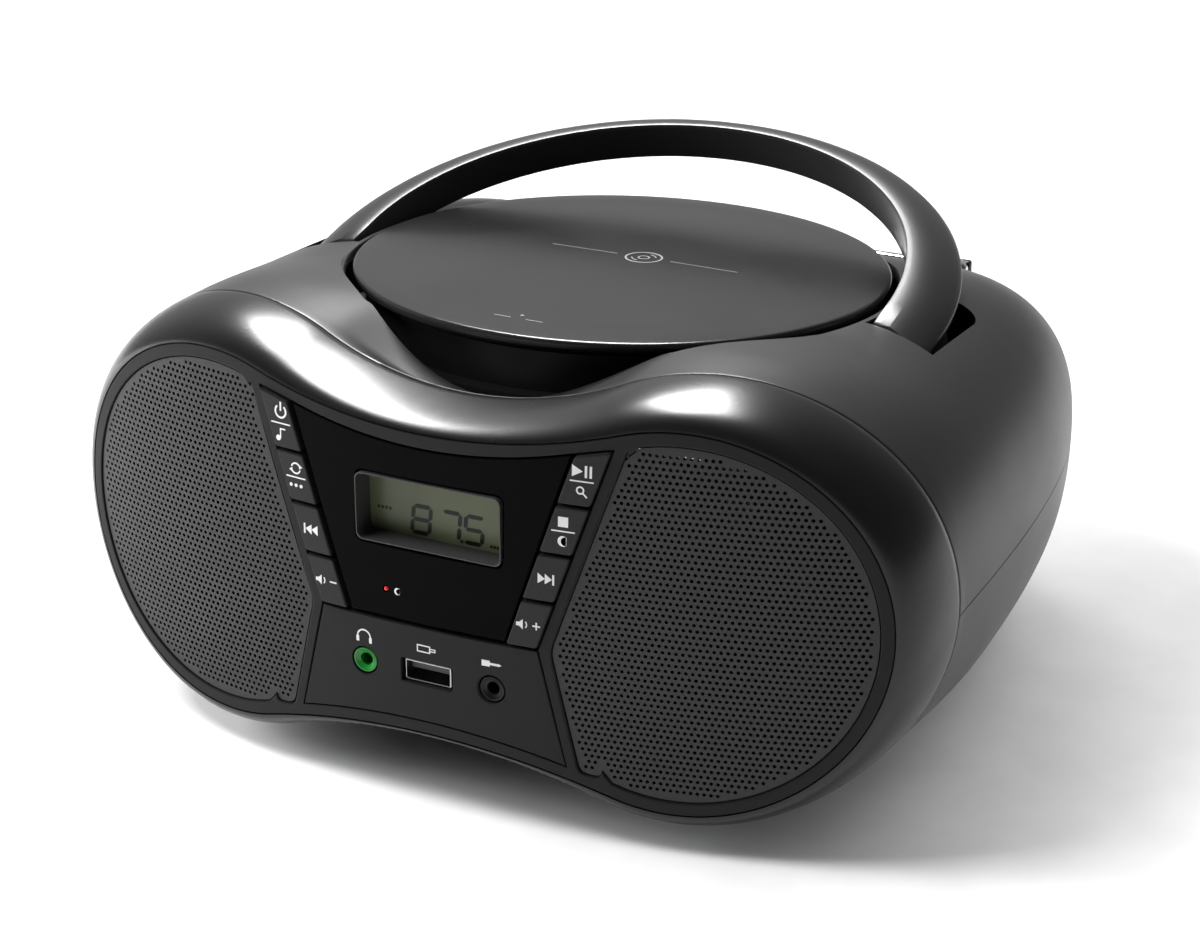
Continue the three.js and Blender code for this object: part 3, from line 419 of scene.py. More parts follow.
def make_shell():
    inner = [shell_points(y, WALL) for y in reversed(INNER_Y)]
    inner[0][:, 1] = DEPTH - WALL
    off = RING_DEPTH + GAP
    seam, start = ring_row(1, WALL, off), inner[-1]
    inner[-1] = scooped(start, 1)
    inner.append(scooped(seam + (start - seam) * SCOOP_AT, 1))
    inner.append(seam)
    outer = shell_rows()
    cap = []
    last = outer[-1]
    middle = np.array([0, DEPTH, last[:, 2].mean()])
    for k in (0.97, 0.8, 0.5):
        cap.append(middle + (last - middle) * k)
    return loft(inner + outer + cap)


def shell_core():
    rows = [ring_row(1, 0.6, RING_DEPTH + GAP + 0.5)]
    rows += [shell_points(y, 0.6) for y in (52, 70, 90, 115, 140, 160, 176, 190, 200, 206)]
    return loft(rows)


def side_block(side, x0, x1, y0, y1, z0, z1):
    low, high = sorted((side * x0, side * x1))
    return block(low, high, y0, y1, z0, z1)


def hub_rod(side, r, x0, x1):
    return rod(r, [side * x0, HUB[1], HUB[2]], [side * x1, HUB[1], HUB[2]], 64)


def pocket_hole(side):
    """The slot for a handle foot: open upward, with a round bowl about the pivot."""
    x0, x1, y0, y1 = 60, POCKET_X, POCKET_Y0, POCKET_Y1
    plan = rounded([(x0, y0), (x1, y0), (x1, y1), (x0, y1)], [0, 0, POCKET_ROUND, 0], 10)
    rings = [[(side * x, y, z) for x, y in (plan if side > 0 else plan[::-1])] for z in (POCKET_Z, POCKET_Z + 50)]
    hole = union(loft(rings), rod(FOOT_R + 0.5, [side * 60, HUB[1], HUB[2]], [side * x1, HUB[1], HUB[2]], 128))
    return cut(hole, rod(POCKET_R, [0, LID_MID[1], 80], [0, LID_MID[1], 150], 200))


def make_top(shell):
    half = block(-140, 140, 0, 230, SPLIT_Z + GAP / 2, 160)
    top = boolean(shell, half, "INTERSECT")
    lip = [(WELL_R + 1.0 - 1.0 * math.cos(a), -2.4 + 1.0 * math.sin(a)) for a in np.linspace(0, math.pi / 2, 7)]
    well = lathe([(0, -30), (WELL_R, -30)] + lip + [(WELL_R + 1.0, 20), (0, 20)], 200, deck)
    half = HINGE_HALF + 6.2
    notch = block(-half, half, 60, 80.6, -16.4, 20, deck)
    cut(top, well)
    cut(top, notch)
    core = shell_core()
    for side in (1, -1):
        around = FOOT_R + 3
        pocket = side_block(side, 73, 98.4, HUB[1] - around, POCKET_Y1 + 2.6, HUB[2] - around, 112)
        boolean(pocket, core, "INTERSECT", keep=True)
        cut(pocket, lathe([(0, -9), (WELL_R, -9), (WELL_R, 20), (0, 20)], 200, deck))
        union(top, pocket)
    for side in (1, -1):
        cut(top, pocket_hole(side))
        cut(top, hub_rod(side, 2.3, 70.5, 84.4))
    collar = lathe([(70.6, -14.6), (77, -14.6), (77, -4.6), (70.6, -4.6)], 120, deck)
    boolean(collar, block(-100, 100, 45, 90, -40, 20, deck), "INTERSECT")
    cut(collar, block(-half, half, 60, 80.6, -16.4, 20, deck))
    union(top, collar)
    x, y, z = AERIAL
    liner = block(x - 10, x + 10, y - 10, y + 10, z - 9.4, z + 9)
    boolean(liner, core, "INTERSECT")
    union(top, liner)
    cut(top, rod(7.4, [x, y, z - 6.4], [x, y, 105], 48))
    return top


DOOR_X, DOOR_Z0, DOOR_Z1 = 50.0, 15.0, 54.0
feet = [(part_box(f"foot_{i}")[0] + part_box(f"foot_{i}")[1]) / 2 for i in range(1, 5)]
screws = [(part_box(f"case_screw_{i}")[0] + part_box(f"case_screw_{i}")[1]) / 2 for i in range(1, 5)]


def make_bottom(shell):
    body = boolean(shell, block(-140, 140, 0, 230, -10, SPLIT_Z - GAP / 2), "INTERSECT")
    for middle in screws:
        x, y, _ = inner_mm(middle)
        union(body, rod(5.5, [x, y, 7], [x, y, 58]))
        mouth = [(0, -1), (4.6, -1), (4.6, 3.4), (3.9, 4.4), (3.9, 12), (0, 12)]
        cut(body, lathe(mouth, 40, lambda v, x=x, y=y: v + [x, y, 0]))
        cut(body, rod(2, [x, y, 10], [x, y, 50]))
    for middle in feet:
        x, y, _ = inner_mm(middle)
        cut(body, rod(2.3, [x, y, 0], [x, y, 7]))
    cut(body, block(-DOOR_X - 0.4, DOOR_X + 0.4, 200, 230, DOOR_Z0 - 1, DOOR_Z1 + 0.4))
    for i in range(9):
        z = 20 + 3.2 * i
        cut(body, soft_block(-88, -66, 204, 230, z, z + 1.4, 0.6))
    return cut(body, block(61.7, 78.3, 200, 230, 21.7, 32.3))


# ---------- plates on the curved face ----------
def slab(y0, y1, x0, x1, z0, z1, cell):
    nx = max(2, round((x1 - x0) / cell))
    nz = max(2, round((z1 - z0) / cell))
    xs, zs = np.meshgrid(np.linspace(x0, x1, nx + 1), np.linspace(z0, z1, nz + 1))
    layers = [np.stack([xs, face_y(xs, zs) + off, zs], -1).reshape(-1, 3) for off in (y0, y1)]
    verts = np.concatenate(layers)
    m = (nx + 1) * (nz + 1)
    at = lambda i, j: j * (nx + 1) + i
    faces = []
    for j in range(nz):
        for i in range(nx):
            q = (at(i, j), at(i + 1, j), at(i + 1, j + 1), at(i, j + 1))
            faces.append(q)
            faces.append(tuple(m + v for v in reversed(q)))
    edge = [at(i, 0) for i in range(nx)] + [at(nx, j) for j in range(nz)]
    edge += [at(i, nz) for i in range(nx, 0, -1)] + [at(0, j) for j in range(nz, 0, -1)]
    for a, b in zip(edge, edge[1:] + edge[:1]):
        faces.append((b, a, a + m, b + m))
    return thing(verts, faces)


def inset(outline, d):
    """The outline moved inwards by d along the mean of its two edge normals."""
    p = np.asarray(outline, float)
    area = 0.5 * np.sum(p[:, 0] * np.roll(p[:, 1], -1) - np.roll(p[:, 0], -1) * p[:, 1])
    ahead = np.roll(p, -1, 0) - p
    length = np.linalg.norm(ahead, axis=1, keepdims=True)
    ahead = ahead / np.maximum(length, 1e-9)
    behind = np.roll(ahead, 1, 0)
    normal = np.stack([-(ahead + behind)[:, 1], (ahead + behind)[:, 0]], 1)
    normal /= np.maximum(np.linalg.norm(normal, axis=1, keepdims=True), 1e-9)
    spread = np.sum(normal * np.stack([-ahead[:, 1], ahead[:, 0]], 1), axis=1, keepdims=True)
    return p + np.sign(area) * normal * d / np.maximum(spread, 0.35)


def column(outline, rows, front=-40.0, back=80.0):
    """A long prism along Y; rows of (inset, depth from the face) shape it where it meets the face."""
    rings = []
    ends = [(rows[0][0], None, front)] + [(d, off, None) for d, off in rows] + [(rows[-1][0], None, back)]
    for d, off, y in ends:
        p = inset(outline, d) if d else np.asarray(outline, float)
        x, z = p[:, 0], p[:, 1] + JACK_Z
        depth = np.full_like(x, y) if off is None else face_y(x, z) + off
        rings.append(np.stack([x, depth, z], 1))
    return loft(rings)


def round_rows(edge, start, sign=1, steps=4):
    """A quarter round from an inset of edge at the face to nothing, edge deeper."""
    out = []
    for i in range(steps + 1):
        a = math.pi / 2 * i / steps
        out.append((sign * edge * (1 - math.sin(a)), start + edge * (1 - math.cos(a))))
    return out


def face_plate(outline, y0, y1, edge=0.3, cell=2.5):
    p = np.asarray(outline, float)
    lo, hi = p.min(0), p.max(0)
    plate = slab(y0, y1, lo[0] - 1, hi[0] + 1, lo[1] + JACK_Z - 1, hi[1] + JACK_Z + 1, cell)
    return boolean(plate, column(outline, round_rows(edge, y0)), "INTERSECT")


OUT = [(49.4, 67.8), (30.8, 13.1), (38.2, -17.8)]
IN = [(39.5, 65.6), (22.1, 13.4)]
ROWS = [13.35, 26.4, 39.3, 52.45, 66]


def line_x(a, b, s):
    return a[0] + (b[0] - a[0]) * (s - a[1]) / (b[1] - a[1])


def outer_x(s):
    return line_x(OUT[0], OUT[1], s) if s > OUT[1][1] else line_x(OUT[1], OUT[2], s)


def inner_x(s):
    return line_x(IN[0], IN[1], s)


def lens_top(x):
    return 60.4 + 5.3 * (x / 39.5) ** 2


def jack_low(x):
    return -13.3 - 4.5 * (x / 38.2) ** 2


def both_halves(half):
    return half + [(-x, s) for x, s in reversed(half)]


def curve_points(curve, x0, x1, steps, d):
    return [(x, curve(x) + d) for x in np.linspace(x0, x1, steps)]


def centre_outline():
    half = curve_points(jack_low, 0.01, 36, 16, 0)
    half += [OUT[2], OUT[1], OUT[0], IN[0]]
    half += curve_points(lens_top, 38, 0.01, 16, 0)
    return both_halves(half)


def lens_outline(d):
    half = [(0.01, IN[1][1] + d), (IN[1][0] - d, IN[1][1] + d), (IN[0][0] - d - 0.4, lens_top(IN[0][0]) - d - 0.3)]
    half += curve_points(lens_top, 38, 0.01, 16, -d)
    return both_halves(half)


def jack_outline(d):
    half = curve_points(jack_low, 0.01, 36, 16, d)
    half += [(OUT[2][0] - d, OUT[2][1] + d), (OUT[1][0] - d, OUT[1][1] - d), (0.01, OUT[1][1] - d)]
    return both_halves(half)


GRILLE_R, GRILLE_X = 46.6, 65.3
GRILLE_TOP, GRILLE_MID, GRILLE_LOW = (52.5, 68.9), (33.7, 13.1), (41.2, -18.9)


def grille_outline(side, d):
    cs = LOBE_Z - JACK_Z
    start = math.atan2(GRILLE_LOW[1] - cs, GRILLE_LOW[0] + 6 - GRILLE_X)
    end = math.atan2(GRILLE_TOP[1] - cs, GRILLE_TOP[0] - GRILLE_X)
    r = GRILLE_R - d
    pts = [(GRILLE_X + r * math.cos(a), cs + r * math.sin(a)) for a in np.linspace(start, end, 120)]
    corner = [pts[-1], (GRILLE_MID[0] + d, GRILLE_MID[1]), (GRILLE_LOW[0] + d * 1.2, GRILLE_LOW[1] + d), pts[0]]
    turns = rounded(corner, [2.0, 2.5, 2.0, 2.0], 5)
    pts = pts[2:-2] + turns
    return pts if side > 0 else [(-x, s) for x, s in reversed(pts)]


def make_panel():
    panel = face_plate(peanut(GAP), 0, 3.2, 0.35, 4)
    for side in (1, -1):
        cut(panel, column(grille_outline(side, 0), round_rows(0.5, 0, -1)))
    return cut(panel, column(centre_outline(), round_rows(0.2, 0, -1, 2)))


# ---------- perforated grille ----------
PITCH, ROW_PITCH, HOLE_R = 1.65, 1.62, 0.47


def inside(points, outline):
    p = np.asarray(outline, float)
    q = np.roll(p, -1, 0)
    x, y = points[:, :1], points[:, 1:2]
    crosses = (p[:, 1] > y) != (q[:, 1] > y)
    rise = np.where(np.abs(q[:, 1] - p[:, 1]) < 1e-12, 1e-12, q[:, 1] - p[:, 1])
    hit = x < (q[:, 0] - p[:, 0]) * (y - p[:, 1]) / rise + p[:, 0]
    return np.sum(crosses & hit, axis=1) % 2 == 1


def make_grille(side):
    edge = grille_outline(side, 0.3)
    hold = inset(edge, 1.3)
    lo, hi = np.min(edge, 0) - 3, np.max(edge, 0) + 3
    nx, ns = int((hi[0] - lo[0]) / PITCH), int((hi[1] - lo[1]) / ROW_PITCH)
    ii, jj = [a.ravel() for a in np.meshgrid(np.arange(nx), np.arange(ns))]
    centre_x = lo[0] + (ii + 0.5 + 0.5 * (jj % 2)) * PITCH
    centre_s = lo[1] + (jj + 0.5) * ROW_PITCH
    open_cell = inside(np.stack([centre_x, centre_s], 1), hold)
    left = 2 * ii + (jj % 2)
    corners = [(0, 0), (1, 0), (2, 0), (2, 1), (1, 1), (0, 1)]
    wide = 2 * nx + 4
    key = np.stack([(jj + b) * wide + left + a for a, b in corners], 1)
    used, back = np.unique(key, return_inverse=True)
    back = back.reshape(key.shape)
    flat = np.stack([lo[0] + (used % wide) * PITCH / 2, lo[1] + (used // wide) * ROW_PITCH], 1)
    angle0 = math.atan2(-ROW_PITCH / 2, -PITCH / 2)
    turn = angle0 + np.arange(12) * math.pi / 6
    count = int(open_cell.sum())
    ring = np.stack([
        centre_x[open_cell][:, None] + HOLE_R * np.cos(turn),
        centre_s[open_cell][:, None] + HOLE_R * np.sin(turn),
    ], -1).reshape(-1, 2)
    pts = np.concatenate([flat, ring])
    hole = len(flat) + np.arange(count)[:, None] * 12 + np.arange(12)
    b = back[open_cell]
    tris = []
    for i in range(6):
        m = (i + 1) % 6
        h0, h1, h2 = hole[:, 2 * i], hole[:, 2 * i + 1], hole[:, (2 * i + 2) % 12]
        tris.append(np.stack([b[:, i], h1, h0], 1))
        tris.append(np.stack([b[:, i], b[:, m], h1], 1))
        tris.append(np.stack([b[:, m], h2, h1], 1))
    c = back[~open_cell]
    for i in range(1, 5):
        tris.append(np.stack([c[:, 0], c[:, i], c[:, i + 1]], 1))
    front = np.concatenate(tris)
    edges = np.concatenate([front[:, [0, 1]], front[:, [1, 2]], front[:, [2, 0]]])
    n = len(pts)
    code = edges[:, 0].astype(np.int64) * n + edges[:, 1]
    twin = edges[:, 1].astype(np.int64) * n + edges[:, 0]
    rim = edges[~np.isin(code, twin)]
    x, z = pts[:, 0], pts[:, 1] + JACK_Z
    verts = np.concatenate([np.stack([x, face_y(x, z) + off, z], 1) for off in (0.55, 1.45)])
    walls = np.stack([rim[:, 1], rim[:, 0], rim[:, 0] + n, rim[:, 1] + n], 1)
    faces = front.tolist() + (front[:, ::-1] + n).tolist() + walls.tolist()
    sheet = thing(verts, faces)
    return boolean(sheet, column(edge, [(0, 0), (0, 5)]), "INTERSECT")


# ---------- keys, display and sockets ----------
def button_outline(side, row, d):
    s0, s1 = ROWS[row] + d, ROWS[row + 1] - d
    pts = [(inner_x(s0) + d, s0), (outer_x(s0) - d, s0)]
    if row == 3:
        pts += [(OUT[0][0] - d * 1.4, OUT[0][1] - d * 1.3), (IN[0][0] + d, IN[0][1] - d)]
    else:
        pts += [(outer_x(s1) - d, s1), (inner_x(s1) + d, s1)]
    pts = rounded(pts, 0.7, 3)
    return pts if side > 0 else [(-x, s) for x, s in reversed(pts)]


KEY_FACE = -0.9
BOARD_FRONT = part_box("key_board")[0].y / MM + MID_Y


def button_middle(row):
    s = (ROWS[row] + ROWS[row + 1]) / 2
    return (inner_x(s) + outer_x(s)) / 2, s


def make_button(side, row):
    cap = face_plate(button_outline(side, row, 0.4), KEY_FACE, 1.9, 0.45, 2)
    x, s = button_middle(row)
    z = s + JACK_Z
    y = face_y(x, z)
    return union(cap, rod(1.7, [side * x, y + 1, z], [side * x, BOARD_FRONT - 1.1, z], 24))


WINDOW_X, WINDOW_S, WINDOW_W, WINDOW_H = 0.7, 42.4, 41.4, 18.7


def window_outline(grow):
    w, h = WINDOW_W / 2 + grow, WINDOW_H / 2 + grow
    pts = [(WINDOW_X + a * w, WINDOW_S + b * h) for a, b in ((-1, -1), (1, -1), (1, 1), (-1, 1))]
    return rounded(pts, 2.2, 6)


LED_X, LED_S = (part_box("sleep_led")[0].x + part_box("sleep_led")[1].x) / 2 / MM, 21.3


def make_lens():
    lens = face_plate(lens_outline(0.35), 0, 2, 0.3, 2.5)
    cut(lens, column(window_outline(0), round_rows(0.35, 0, -1)))
    return cut(lens, rod(0.95, [LED_X, -3, LED_S + JACK_Z], [LED_X, 8, LED_S + JACK_Z], 32))


def prism(outline, y0, y1):
    p = np.asarray(outline, float)
    rings = [np.stack([p[:, 0], np.full(len(p), y), p[:, 1] + JACK_Z], 1) for y in (y0, y1)]
    return loft(rings)


LCD_DEPTH = 8.0


def make_lcd_tray():
    tray = prism(window_outline(-0.35), 0.9, 9.2)
    return cut(tray, prism(window_outline(-0.6), -3, LCD_DEPTH))


def make_led():
    dome = [(0, 0)] + [(0.65 * math.sin(a), 0.65 - 0.65 * math.cos(a)) for a in np.linspace(0.3, math.pi / 2, 6)]
    dome += [(0.65, 5.7), (0, 5.7)]
    return lathe(dome, 24, facing(LED_X, 0.3, LED_S + JACK_Z))


def socket_middle(node):
    lo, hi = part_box(node)
    return (lo.x + hi.x) / 2 / MM


JACK_R = 3.75


def facing(x, y, z):
    """Turns a lathe's axis to point into the front face at the given point."""
    return lambda v: np.stack([v[:, 0] + x, v[:, 2] + y, v[:, 1] + z], 1)


def make_jack_panel():
    panel = face_plate(jack_outline(0.35), 0, 2.4, 0.25, 2.5)
    for node in ("headphone_jack", "aux_jack"):
        x = socket_middle(node)
        y = face_y(x, JACK_Z)
        flare = [(0, -6), (JACK_R + 0.4, -6), (JACK_R + 0.4, 0.0), (JACK_R + 0.12, 0.14)]
        flare += [(JACK_R, 0.45), (JACK_R, 14), (0, 14)]
        cut(panel, lathe(flare, 64, facing(x, y, JACK_Z)))
    slot = rounded([(-7.35, -3), (7.35, -3), (7.35, 3.4), (-7.35, 3.4)], 0.5, 4)
    return cut(panel, column(slot, round_rows(0.3, 0, -1)))


def make_jack(node):
    x = socket_middle(node)
    y = face_y(x, JACK_Z)
    r = JACK_R - 0.35
    profile = [(1.75, 1.0), (2.3, 0.75), (2.75, 0.35)]
    profile += [(r - 0.32 + 0.32 * math.sin(a), 0.62 - 0.32 * math.cos(a)) for a in np.linspace(-0.9, math.pi / 2, 7)]
    profile += [(r, 7), (5.2, 7), (5.2, 14.5), (1.75, 14.5)]
    return lathe(profile, 64, facing(x, y, JACK_Z))


def make_usb():
    z0, z1 = JACK_Z - 2.65, JACK_Z + 3.05
    outer = soft_block(-6.6, 6.6, 0.9, 16, z0, z1, 0.5)
    cut(outer, block(-6.2, 6.2, 0, 13, z0 + 0.4, z1 - 0.4))
    return outer


def make_usb_tongue():
    z0 = JACK_Z - 2.65
    return soft_block(-5.5, 5.5, 2.4, 13.2, z0 + 2.9, z0 + 4.6, 0.3)


# ---------- disc player ----------
def make_deck():
    wall = [(0, -17), (74.8, -17), (74.8, -15), (DECK_R, -15), (DECK_R, -4.5), (69.6, -3.95), (68.4, -3.95), (68, -4.5)]
    wall += [(68, -14.0), (67.0, -14.9), (60.6, -14.9), (60.2, -14.3), (59.4, -14.3), (59, -14.9), (24, -14.9)]
    wall += [(23.5, -14.4), (22.5, -14.4), (22, -14.9), (0, -14.9)]
    body = lathe(wall, 160, deck)
    cut(body, rod(13, [0, 0, -20], [0, 0, -10], 64, to=deck))
    cut(body, soft_slot(8, 56, -9, 9, -20, -10))
    cut(body, block(-HINGE_HALF - 1.6, HINGE_HALF + 1.6, 58, 90, -9.4, 0, deck))
    for side in (1, -1):
        x = side * (HINGE_HALF + 3.5)
        union(body, block(x - 1.5, x + 1.5, 69.2, 76.5, -16, -3.6, deck))
        union(body, block(x - 1.5, x + 1.5, 71.8, 76.5, -4, -2.6, deck))
    cut(body, rod(1.4, [-20, HINGE_Y, HINGE_H], [20, HINGE_Y, HINGE_H], 32, to=deck))
    cut(body, block(-3.4, 3.4, -69, -65, -9, -5.5, deck))
    for side in (1, -1):
        cut(body, side_block(side, 72.6, 100, HUB[1] - FOOT_R - 3.4, POCKET_Y1 + 3, 80, 120))
    return body


def soft_slot(x0, x1, y0, y1, h0, h1):
    pts = rounded([(x0, y0), (x1, y0), (x1, y1), (x0, y1)], 5, 6)
    rings = [[(x, y, h) for x, y in pts] for h in (h0, h1)]
    return loft(rings, to=deck)


def make_lid():
    top = [(LID_FLAT, -0.02)]
    for r in np.linspace(66, 6, 14):
        top.append((r, LID_CROWN * (1 - (r / LID_FLAT) ** 2) - 0.02 * (r / LID_FLAT)))
    top.append((0, LID_CROWN))
    rim = [(LID_R, -1.3), (73.34, -0.9), (73.2, -0.5), (72.9, -0.2), (72.6, -0.07)]
    under = [(0, -2.6), (66, -2.6), (70, -3.1), (72.3, -2.95), (72.9, -2.6), (73.25, -2.0)]
    lid = lathe(under + rim + top, 220, deck)
    half = HINGE_HALF + 1.2
    union(lid, block(-HINGE_HALF, HINGE_HALF, 66, 74.5, -3.4, -1, deck))
    union(lid, rod(2.5, [-half, HINGE_Y, HINGE_H], [half, HINGE_Y, HINGE_H], 48, to=deck))
    cut(lid, rod(1.4, [-20, HINGE_Y, HINGE_H], [20, HINGE_Y, HINGE_H], 32, to=deck))
    union(lid, block(-2.6, 2.6, -65.4, -63.6, -9, -2.5, deck))
    return union(lid, lathe([(11.2, -2.4), (14.6, -2.4), (14.6, -5.2), (11.2, -5.2)], 64, deck))


def make_clamp():
    pts = rounded([(0, -5.9), (4, -5.9), (4, -6.7), (10.6, -6.7), (10.6, -3.2), (0, -3.2)], [0, 0, 0.3, 0.5, 0.5, 0], 4)
    return lathe(pts, 64, deck)


def make_turntable():
    pts = [(0, -7.2), (5.6, -7.2), (7.2, -8.4), (7.2, -9.4), (12, -9.4), (12, -11.2), (5, -11.2), (5, -14), (0, -14)]
    return lathe(rounded(pts, [0, 0.5, 0.4, 0.2, 0.4, 0.4, 0.3, 0.2, 0], 4), 80, deck)


# ---------- handle ----------
def arch(x, v, w):
    c, s = math.cos(ARCH_RISE), math.sin(ARCH_RISE)
    return [x, ARCH_Y + v * c - w * s, ARCH_Z + v * s + w * c]


def make_handle():
    rows = []
    steps = 122
    for i in range(steps + 1):
        a = math.pi * min(1.0, max(0.0, (i - 1) / (steps - 2)))
        ahead = -18.0 if i in (0, steps) else 0.0
        grow = abs(math.cos(a)) ** 1.3
        out = ARCH_TOP + (ARCH_SIDE - ARCH_TOP) * grow
        drop_by = 3.2 + 3.2 * grow
        inner = ARCH_INNER
        crown = [(inner + 0.5 + (out - inner - 0.5) * t, -drop_by * t**2) for t in np.linspace(0, 1, 12)]
        section = [(inner - 0.3, -ARCH_TALL), (inner - 0.28, -1.2), (inner - 0.16, -0.45), (inner + 0.1, -0.08)]
        section += crown[:-1]
        section += [(out - 0.12, -drop_by - 0.3), (out, -drop_by - 0.8), (out - 0.05, -drop_by - 1.3)]
        section += [(out - 0.75, -ARCH_TALL + 0.5), (out - 1.2, -ARCH_TALL)]
        rows.append([arch(r * math.cos(a), r * math.sin(a) + ahead, w) for r, w in section])
    bow = loft(rows)
    profile = [(0, 77.6), (12.8, 77.6), (13, 77.8), (12.9, 80), (12.4, 82.7), (11.7, 85), (10.8, 86.8), (9.7, 88.6)]
    profile += [(8.3, 90.2), (7.0, 91.3), (5.6, 92), (0, 92)]
    for side in (1, -1):
        def place(v, side=side):
            return np.stack([side * v[:, 2], v[:, 0] + HUB[1], v[:, 1] + HUB[2]], 1)
        union(bow, lathe(profile, 96, place))
    front = block(-100, 100, 80, HUB[1], 70, 140)
    cut(front, rod(FOOT_R, [-110, HUB[1], HUB[2]], [110, HUB[1], HUB[2]], 160))
    cut(bow, front)
    for side in (1, -1):
        cut(bow, hub_rod(side, 2.3, 70.5, 84.4))
    return bow


# ---------- aerial ----------
def aerial_rod(r, x0, x1, edge=0.3, **more):
    return rod(r, [x1, AERIAL[1], AERIAL[2]], [x0, AERIAL[1], AERIAL[2]], 40, edge=edge, **more)


def make_aerial_tube(r, bore, x0, x1):
    tube = aerial_rod(r, x0, x1)
    return cut(tube, aerial_rod(bore, x0 - 1, x1 - 4, 0.0))


def make_aerial_tip():
    tip = aerial_rod(0.7, -75.5, 46, 0.1)
    cap = [(0, -75), (1.8, -75), (2.0, -75.2), (2.0, -77), (1.9, -78.4), (1.3, -79.2), (0, -79.4)]

    def place(v):
        return np.stack([v[:, 2], v[:, 0] + AERIAL[1], v[:, 1] + AERIAL[2]], 1)
    return union(tip, lathe(cap, 40, place))


def make_aerial_base():
    x, y, z = AERIAL
    base = rod(6.8, [x, y, z - 6], [x, y, z - 3.6], 48, edge=0.3)
    union(base, soft_block(x - 3, x + 3, y - 4.6, y - 2.2, z - 4, z + 2, 0.8))
    union(base, soft_block(x - 3, x + 3, y + 2.2, y + 4.6, z - 4, z + 2, 0.8))
    return cut(base, rod(1.3, [x, y - 6, z], [x, y + 6, z], 24))


def make_aerial_knuckle():
    x, y, z = AERIAL
    knuckle = rod(2.9, [x, y - 1.8, z], [x, y + 1.8, z], 40, edge=0.3)
    union(knuckle, block(x - 9, x, y - 1.5, y + 1.5, z - 1.5, z + 1.5))
    union(knuckle, rod(1, [x, y - 4.4, z], [x, y + 4.4, z], 24))
    return union(knuckle, rod(2.2, [x - 10, y, z], [x - 5, y, z], 36, edge=0.3))


# ---------- rear and bottom ----------
def make_door():
    plate = soft_block(-DOOR_X, DOOR_X, 207.6, DEPTH, DOOR_Z0, DOOR_Z1, 0.8)
    z = DOOR_Z0 + 1.6
    union(plate, rod(1.6, [-DOOR_X + 2, 208.3, z], [DOOR_X - 2, 208.3, z], 32))
    cut(plate, rod(6, [-8, DEPTH + 4.6, DOOR_Z1 - 5], [8, DEPTH + 4.6, DOOR_Z1 - 5], 64))
    for i in range(5):
        zi = DOOR_Z1 - 14 - 2.2 * i
        cut(plate, soft_block(-9, 9, DEPTH - 0.4, DEPTH + 3, zi, zi + 0.9, 0.4))
    return plate


def make_inlet():
    inlet = soft_block(62, 78, 196, DEPTH - 0.6, 22, 32, 1.2)
    cut(inlet, soft_block(63.6, 76.4, 200, 224, 23.8, 30.2, 2.8))
    for x in (67.2, 72.8):
        union(inlet, rod(1.2, [x, 197, 27], [x, 207, 27], 24, edge=0.4))
    return inlet


def make_foot(middle):
    x, y, _ = inner_mm(middle)
    profile = [(0, 0)]
    profile += [(7 - 0.8 + 0.8 * math.sin(a), 0.8 - 0.8 * math.cos(a)) for a in np.linspace(0, math.pi / 2, 7)]
    profile += [(7.5, 2.9), (7.3, 3.3), (1.9, 3.3), (1.9, 6.6), (0, 6.6)]
    return lathe(profile, 64, lambda v: v + [x, y, 0])


def make_screw(middle):
    x, y, _ = inner_mm(middle)
    profile = [(0, 8.6), (2.0, 8.65), (3.0, 9.0), (3.4, 9.8), (3.4, 11.6), (1.6, 11.6), (1.6, 39), (0.4, 40), (0, 40)]
    head = lathe(profile, 40, lambda v: v + [x, y, 0])
    for across in ((2.2, 0.45), (0.45, 2.2)):
        cut(head, block(x - across[0], x + across[0], y - across[1], y + across[1], 8, 9.7))
    return head


# ---------- speaker cones ----------
DRIVER_X, DRIVER_OFF, DRIVER_TURN = 68.0, 8.2, math.atan(0.215)


def make_cone(side):
    profile = [(0, -5)] + [(7.6 * t, -5 - 2.6 * t * t) for t in (0.3, 0.6, 1)]
    profile += [(8, -8), (14, -4.9), (20.4, -0.9), (21, -0.5)]
    profile += [(21 + 4.0 * t, -0.5 + 1.5 * math.sin(math.pi * t) + 0.9 * t) for t in (0.25, 0.5, 0.75, 1)]
    profile += [(25, -0.1), (23.6, 0.1), (20.6, -2), (8, -10.4), (8, -13), (0, -13)]

    def place(v):
        c, s = math.cos(side * DRIVER_TURN), math.sin(side * DRIVER_TURN)
        x, y, z = v[:, 0], -v[:, 2], v[:, 1]
        base = face_y(DRIVER_X, LOBE_Z) + DRIVER_OFF
        return np.stack([x * c - y * s + side * DRIVER_X, x * s + y * c + base, z + LOBE_Z], 1)
    return lathe(profile, 64, place)


